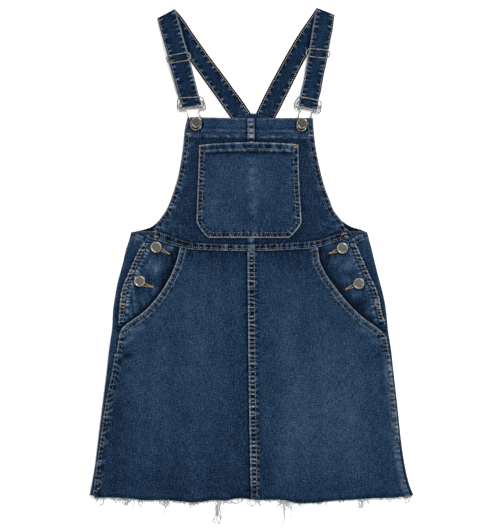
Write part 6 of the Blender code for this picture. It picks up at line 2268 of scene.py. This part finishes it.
# Where the cut has frayed into tufts: x, half width and longest yarn in mm,
# how many yarns, and how much they kink and turn.
Clump = namedtuple("Clump", "x half reach count kink turn")
CLUMPS = (
    Clump(-226.5, 5.2, 9.0, 12, 0.8, 0.06),
    Clump(-205.5, 4.5, 7.0, 8, 0.9, 0.08),
    Clump(-189.0, 9.8, 15.0, 34, 0.9, 0.10),
    Clump(-165.0, 6.8, 10.0, 10, 0.9, 0.08),
    Clump(-151.5, 6.8, 5.0, 8, 0.8, 0.08),
    Clump(-129.0, 6.0, 11.0, 18, 0.6, 0.05),
    Clump(-109.5, 6.0, 6.0, 8, 0.8, 0.08),
    Clump(-90.0, 13.5, 10.0, 22, 0.9, 0.10),
    Clump(-64.5, 7.5, 4.0, 8, 0.9, 0.10),
    Clump(-49.5, 3.6, 22.0, 6, 0.5, 0.01),
    Clump(-28.5, 13.5, 8.0, 16, 1.0, 0.14),
    Clump(4.5, 9.0, 10.0, 10, 1.2, 0.24),
    Clump(28.5, 9.0, 6.0, 10, 1.0, 0.12),
    Clump(49.5, 6.8, 18.0, 14, 0.7, 0.04),
    Clump(58.5, 3.8, 17.0, 6, 0.7, 0.04),
    Clump(79.5, 7.5, 6.0, 9, 1.0, 0.14),
    Clump(100.5, 7.5, 4.5, 8, 0.9, 0.10),
    Clump(115.5, 6.0, 9.0, 8, 1.2, 0.22),
    Clump(135.0, 7.5, 5.0, 9, 0.9, 0.10),
    Clump(166.5, 6.0, 18.0, 14, 1.0, 0.10),
    Clump(177.0, 4.5, 8.0, 6, 1.6, 0.35),
    Clump(202.5, 9.0, 5.0, 10, 1.0, 0.12),
    Clump(231.0, 6.8, 9.0, 14, 0.9, 0.12),
    Clump(239.2, 3.0, 10.0, 8, 1.4, 0.28),
)


# Long ends and loops: from (x, y) at the cut edge to (x, y), bow, waves, thick
Tuft = namedtuple("Tuft", "x0 y0 x1 y1 bow waves radius tone")
TUFTS = (
    Tuft(-221.1, -346.8, -226.5, -360.0, 2.6, 0.8, 0.42, 0.85),
    Tuft(-219.9, -346.8, -224.4, -358.8, 1.6, 1.2, 0.34, 0.75),
    Tuft(-233.1, -347.1, -233.7, -355.2, 1.0, 0.6, 0.34, 0.8),
    Tuft(-207.0, -345.9, -200.4, -354.6, -1.3, 0.7, 0.26, 0.8),
    Tuft(-191.4, -346.5, -191.1, -363.0, 3.1, 1.2, 0.26, 0.75),
    Tuft(-193.5, -346.5, -183.0, -358.8, -3.9, 1.5, 0.30, 0.8),
    Tuft(-187.5, -347.1, -190.2, -357.6, 3.9, 1.2, 0.30, 0.8),
    Tuft(-180.6, -348.0, -185.1, -360.6, -3.4, 1.4, 0.28, 0.8),
    Tuft(-177.9, -348.3, -176.1, -363.3, 1.6, 0.9, 0.26, 0.7),
    Tuft(-168.0, -350.4, -162.6, -363.0, -2.1, 1.2, 0.28, 0.75),
    Tuft(-164.4, -350.7, -166.2, -359.7, 2.3, 1.0, 0.26, 0.8),
    Tuft(-156.0, -350.7, -146.1, -354.3, 1.8, 0.6, 0.26, 0.85),
    Tuft(-135.0, -350.9, -128.1, -360.6, -2.3, 0.8, 0.30, 0.75),
    Tuft(-123.6, -351.0, -128.7, -361.5, 1.8, 0.8, 0.30, 0.8),
    Tuft(-128.1, -359.7, -132.3, -372.9, 1.0, 0.6, 0.26, 0.7),
    Tuft(-131.7, -350.9, -124.2, -362.7, 1.6, 0.8, 0.26, 0.8),
    Tuft(-114.9, -351.2, -108.3, -357.6, -1.0, 0.5, 0.26, 0.85),
    Tuft(-102.0, -352.5, -99.9, -360.0, 1.0, 0.6, 0.26, 0.8),
    Tuft(-90.6, -353.4, -89.4, -363.6, -1.3, 0.8, 0.26, 0.75),
    Tuft(-87.0, -353.7, -78.6, -356.1, -2.1, 0.5, 0.26, 0.8),
    Tuft(-46.8, -351.3, -51.6, -359.7, 1.0, 0.4, 0.44, 0.85),
    Tuft(-48.4, -351.3, -53.4, -364.7, 1.6, 0.5, 0.36, 0.88),
    Tuft(-51.0, -357.2, -50.0, -372.2, 1.0, 0.6, 0.48, 0.9),
    Tuft(-49.6, -366.7, -46.6, -386.4, 1.3, 1.2, 0.46, 0.85),
    Tuft(-49.8, -368.7, -49.0, -386.8, -1.0, 1.4, 0.44, 0.85),
    Tuft(-51.6, -363.2, -56.4, -380.2, 1.8, 1.0, 0.42, 0.85),
    Tuft(-56.0, -379.0, -52.4, -385.6, -2.2, 0.6, 0.40, 0.85),
    Tuft(-51.4, -359.7, -50.1, -376.2, -0.8, 0.8, 0.42, 0.6),
    Tuft(-47.0, -360.7, -45.2, -379.2, 1.2, 0.9, 0.40, 0.85),
    # loops below the centre seam
    Tuft(-4.0, -350.0, -1.0, -360.0, -3.4, 0.5, 0.30, 0.85),
    Tuft(-1.0, -360.0, 9.0, -351.0, -3.6, 0.5, 0.30, 0.85),
    Tuft(12.0, -350.5, 17.0, -359.0, -2.6, 0.6, 0.28, 0.8),
    Tuft(-45.0, -351.0, -49.5, -361.5, 1.3, 0.6, 0.42, 0.8),
    Tuft(-43.5, -351.2, -27.6, -354.6, -2.1, 0.8, 0.34, 0.9),
    Tuft(-28.5, -354.9, -10.5, -348.6, -3.1, 0.7, 0.42, 0.9),
    Tuft(-34.5, -352.8, -12.0, -350.1, -4.4, 0.9, 0.36, 0.85),
    Tuft(-24.0, -354.6, -23.4, -360.6, 0.5, 0.4, 0.26, 0.75),
    Tuft(-3.0, -350.1, 4.5, -360.9, -2.1, 0.9, 0.28, 0.8),
    Tuft(11.4, -350.7, 15.0, -359.1, -1.3, 0.6, 0.28, 0.8),
    Tuft(25.5, -351.0, 30.0, -356.1, 1.0, 0.5, 0.24, 0.8),
    Tuft(37.5, -351.0, 49.5, -356.1, -1.8, 0.9, 0.36, 0.9),
    Tuft(45.0, -351.3, 50.1, -367.2, 1.8, 0.8, 0.36, 0.85),
    Tuft(48.6, -365.7, 48.0, -386.8, 1.6, 1.2, 0.34, 0.8),
    Tuft(50.1, -359.7, 52.5, -377.7, -1.0, 0.9, 0.28, 0.8),
    Tuft(52.5, -351.6, 49.8, -365.1, -1.3, 0.7, 0.34, 0.85),
    Tuft(57.0, -352.2, 59.4, -377.4, 2.1, 1.2, 0.28, 0.8),
    Tuft(62.1, -353.1, 57.9, -367.2, 1.8, 1.0, 0.26, 0.8),
    Tuft(70.5, -354.3, 79.5, -360.9, -1.6, 0.7, 0.26, 0.8),
    Tuft(96.9, -353.7, 105.0, -356.7, -1.3, 0.5, 0.24, 0.85),
    Tuft(111.0, -351.9, 116.4, -360.9, -1.6, 0.8, 0.26, 0.8),
    Tuft(129.0, -351.0, 135.0, -355.8, 1.3, 0.5, 0.24, 0.8),
    Tuft(161.4, -349.2, 168.3, -362.7, 2.3, 1.3, 0.30, 0.8),
    Tuft(165.9, -348.9, 164.7, -363.6, -2.9, 1.4, 0.28, 0.8),
    Tuft(167.4, -361.8, 168.9, -374.1, 1.0, 0.8, 0.26, 0.75),
    Tuft(172.5, -348.9, 176.1, -357.9, 1.6, 1.2, 0.26, 0.8),
    Tuft(202.5, -347.7, 212.7, -353.1, -1.3, 0.6, 0.24, 0.85),
    Tuft(207.6, -351.6, 224.4, -349.5, 1.0, 0.7, 0.24, 0.85),
    Tuft(227.4, -347.1, 232.5, -355.8, 1.6, 0.7, 0.28, 0.85),
    Tuft(236.1, -345.3, 240.3, -356.1, -1.6, 0.7, 0.28, 0.85),
    Tuft(240.6, -344.1, 231.6, -354.9, 2.1, 0.6, 0.26, 0.85),
)


def fringe():
    parts = []
    for i, t in enumerate(TUFTS):
        pts = curl(t.x0, t.y0 + 1.0, t.x1, t.y1, 2.3, 0.6, t.bow, t.waves, 0.7, i * 0.37, 16)
        v, f = yarn(pts, t.radius * 1.6)
        parts.append((v, f, [t.tone - 0.12] * len(v)))
    # tufts of fine curling yarn
    k = 0
    for c in CLUMPS:
        for i in range(c.count):
            k += 1
            x = c.x + c.half * (2 * float(dice(k, 521)) - 1)
            y = float(at(HEM, "y", x)) + 0.8
            head = math.radians(-90 + 62 * (2 * float(dice(k, 522)) - 1))
            size = c.reach * (0.45 + 0.75 * float(dice(k, 523)))
            turn = c.turn * (2 * float(dice(k, 524)) - 1) * 1.6
            pts = stray(x, y, head, size, c.kink, turn, 530.0 + k * 0.77)
            v, f = yarn(pts, 0.25 + 0.13 * float(dice(k, 525)), 4)
            parts.append((v, f, [float(0.30 + 0.50 * dice(k, 526))] * len(v)))
    # short ends all along the cut
    n = 270
    for i in range(n):
        x = mix(-240.0, 240.0, (i + dice(i, 501)) / n)
        y = float(at(HEM, "y", x))
        long = 0.6 + 3.6 * dice(i, 502) ** 3.0
        lean = (dice(i, 503) - 0.5) * 2.2 * long
        pts = curl(x, y + 0.9, x + lean, y - long, 2.2, 0.9, (dice(i, 504) - 0.5) * 2.0, 0.7, 0.35, i * 0.73, 6)
        v, f = yarn(pts, 0.15 + 0.10 * float(dice(i, 505)), 4)
        parts.append((v, f, [float(0.20 + 0.75 * dice(i, 506))] * len(v)))
    # loose weft yarns that have slid down and lie along the edge
    for i in range(30):
        x = mix(-232.0, 226.0, (i + dice(i, 511)) / 30)
        y = float(at(HEM, "y", x)) - 0.2 - 1.8 * dice(i, 512) ** 2
        w = 4.0 + 9.0 * dice(i, 513)
        y1 = float(at(HEM, "y", x + w)) - 0.2 - 1.8 * dice(i, 514) ** 2
        pts = curl(x, y, x + w, y1, 1.6, 1.4, (dice(i, 515) - 0.7) * 2.4, 1.3, 0.5, i * 0.91, 12)
        v, f = yarn(pts, 0.16 + 0.08 * float(dice(i, 516)), 4)
        parts.append((v, f, [float(0.4 + 0.5 * dice(i, 517))] * len(v)))
    verts, faces, tone = join_parts(parts)
    ob = finish_mesh("hem_fringe_yarn", verts, faces, tone, YARN)
    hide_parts("hem_fringe")
    return ob


# ------------------------------------------------------------- build it all
back_skirt()
back_bib()
for side in ("left", "right"):
    hip_yoke(side)
    bib_half(side)
    skirt_half(side)
    side_placket(side)
    side_seam(side)
centre_seam("bib_centre_seam_cloth", 221.5, 34.5, 0.55, 171.0, "bib_centre_seam", 0.27)
centre_seam("skirt_centre_seam_cloth", 22.0, -349.5, 0.62, 173.0,
            "skirt_centre_seam")
waist_seam()
pocket()
strap("left", STRAP_LEFT_BACK, STRAP_LEFT_FOLD, STRAP_LEFT_FRONT, STRAP_LEFT_TAIL, ((-104.4, 243.7), (-75.0, 246.9)))
strap("right", STRAP_RIGHT_BACK, STRAP_RIGHT_FOLD, STRAP_RIGHT_FRONT, STRAP_RIGHT_TAIL, ((100.2, 240.7), (72.6, 246.0)))
for side, slider, link, hook in (
    ("left", SLIDER_LEFT, LINK_LEFT, HOOK_LEFT),
    ("right", SLIDER_RIGHT, LINK_RIGHT, HOOK_RIGHT),
):
    wire(f"slider_{side}_wire", slider, 8, 14, NICKEL, f"slider_{side}")
    wire(f"buckle_bar_{side}_wire", link, 10, 18, NICKEL, f"buckle_bar_{side}")
    wire(f"buckle_hook_{side}_wire", hook, 7, 14, NICKEL, f"buckle_hook_{side}")
hook_knurls()
for spec in BIB_BUTTONS:
    button(spec, BIB_RIM, BIB_FACE)
for spec in SIDE_BUTTONS:
    button(spec, SIDE_RIM, SIDE_FACE)
stitched = all_stitching()
fray = fringe()

# ------------------------------------------------------------------- stage
floor_mesh = bpy.data.meshes.new("floor")
S = 30.0
floor_mesh.from_pydata([(-S, -S, -0.0002), (S, -S, -0.0002), (S, S, -0.0002), (-S, S, -0.0002)], [], [(0, 1, 2, 3)])
floor = bpy.data.objects.new("floor", floor_mesh)
SCENE.collection.objects.link(floor)
fm = bpy.data.materials.new("floor")
fm.use_nodes = True
fb = fm.node_tree.nodes["Principled BSDF"]
fb.inputs["Base Color"].default_value = (0.86, 0.86, 0.86, 1.0)
fb.inputs["Emission Color"].default_value = (1.0, 1.0, 1.0, 1.0)
fb.inputs["Emission Strength"].default_value = 0.24
fb.inputs["Roughness"].default_value = 0.95
fb.inputs["Specular IOR Level"].default_value = 0.1
floor_mesh.materials.append(fm)

world = bpy.data.worlds.new("studio")
SCENE.world = world
world.use_nodes = True
bg = world.node_tree.nodes["Background"]
bg.inputs["Color"].default_value = (1.0, 1.0, 1.0, 1.0)
sky = world.node_tree.nodes.new("ShaderNodeTexCoord")
split = world.node_tree.nodes.new("ShaderNodeSeparateXYZ")
fade = world.node_tree.nodes.new("ShaderNodeMath")
fade.operation = "MULTIPLY_ADD"
fade.use_clamp = False
fade.inputs[1].default_value = 0.60
fade.inputs[2].default_value = 0.45
world.node_tree.links.new(sky.outputs["Generated"], split.inputs[0])
above = world.node_tree.nodes.new("ShaderNodeMath")
above.operation = "MAXIMUM"
above.inputs[1].default_value = 0.0
world.node_tree.links.new(split.outputs["Z"], above.inputs[0])
world.node_tree.links.new(above.outputs[0], fade.inputs[0])
world.node_tree.links.new(fade.outputs[0], bg.inputs["Strength"])


def area_light(name, place, aim, size, power, colour=(1, 1, 1)):
    data = bpy.data.lights.new(name, "AREA")
    data.shape = "SQUARE"
    data.size = size
    data.energy = power
    data.color = colour
    ob = bpy.data.objects.new(name, data)
    ob.location = place
    ob.rotation_euler = (Vector(aim) - Vector(place)).to_track_quat("-Z", "Y").to_euler()
    SCENE.collection.objects.link(ob)
    return ob


area_light("key", (1.9, 2.3, 3.4), (0, 0, 0), 1.3, 150.0, (1.0, 0.99, 0.97))

cam_data = bpy.data.cameras.new("camera")
cam = bpy.data.objects.new("camera", cam_data)
SCENE.collection.objects.link(cam)
cam.location = (-0.0015, 0.0003, 6.0)
cam.rotation_euler = (0, 0, 0)
cam_data.sensor_fit = "AUTO"
cam_data.sensor_width = 36.0
cam_data.lens = 36.0 * 6.0 / 0.798
cam_data.clip_start = 0.1
cam_data.clip_end = 60.0
cam_data.dof.use_dof = False
SCENE.camera = cam
SCENE.view_settings.view_transform = "Standard"
SCENE.view_settings.look = "None"

print("TRIANGLES", sum(TRIANGLES.values()), max(TRIANGLES.items(), key=lambda k: k[1]))
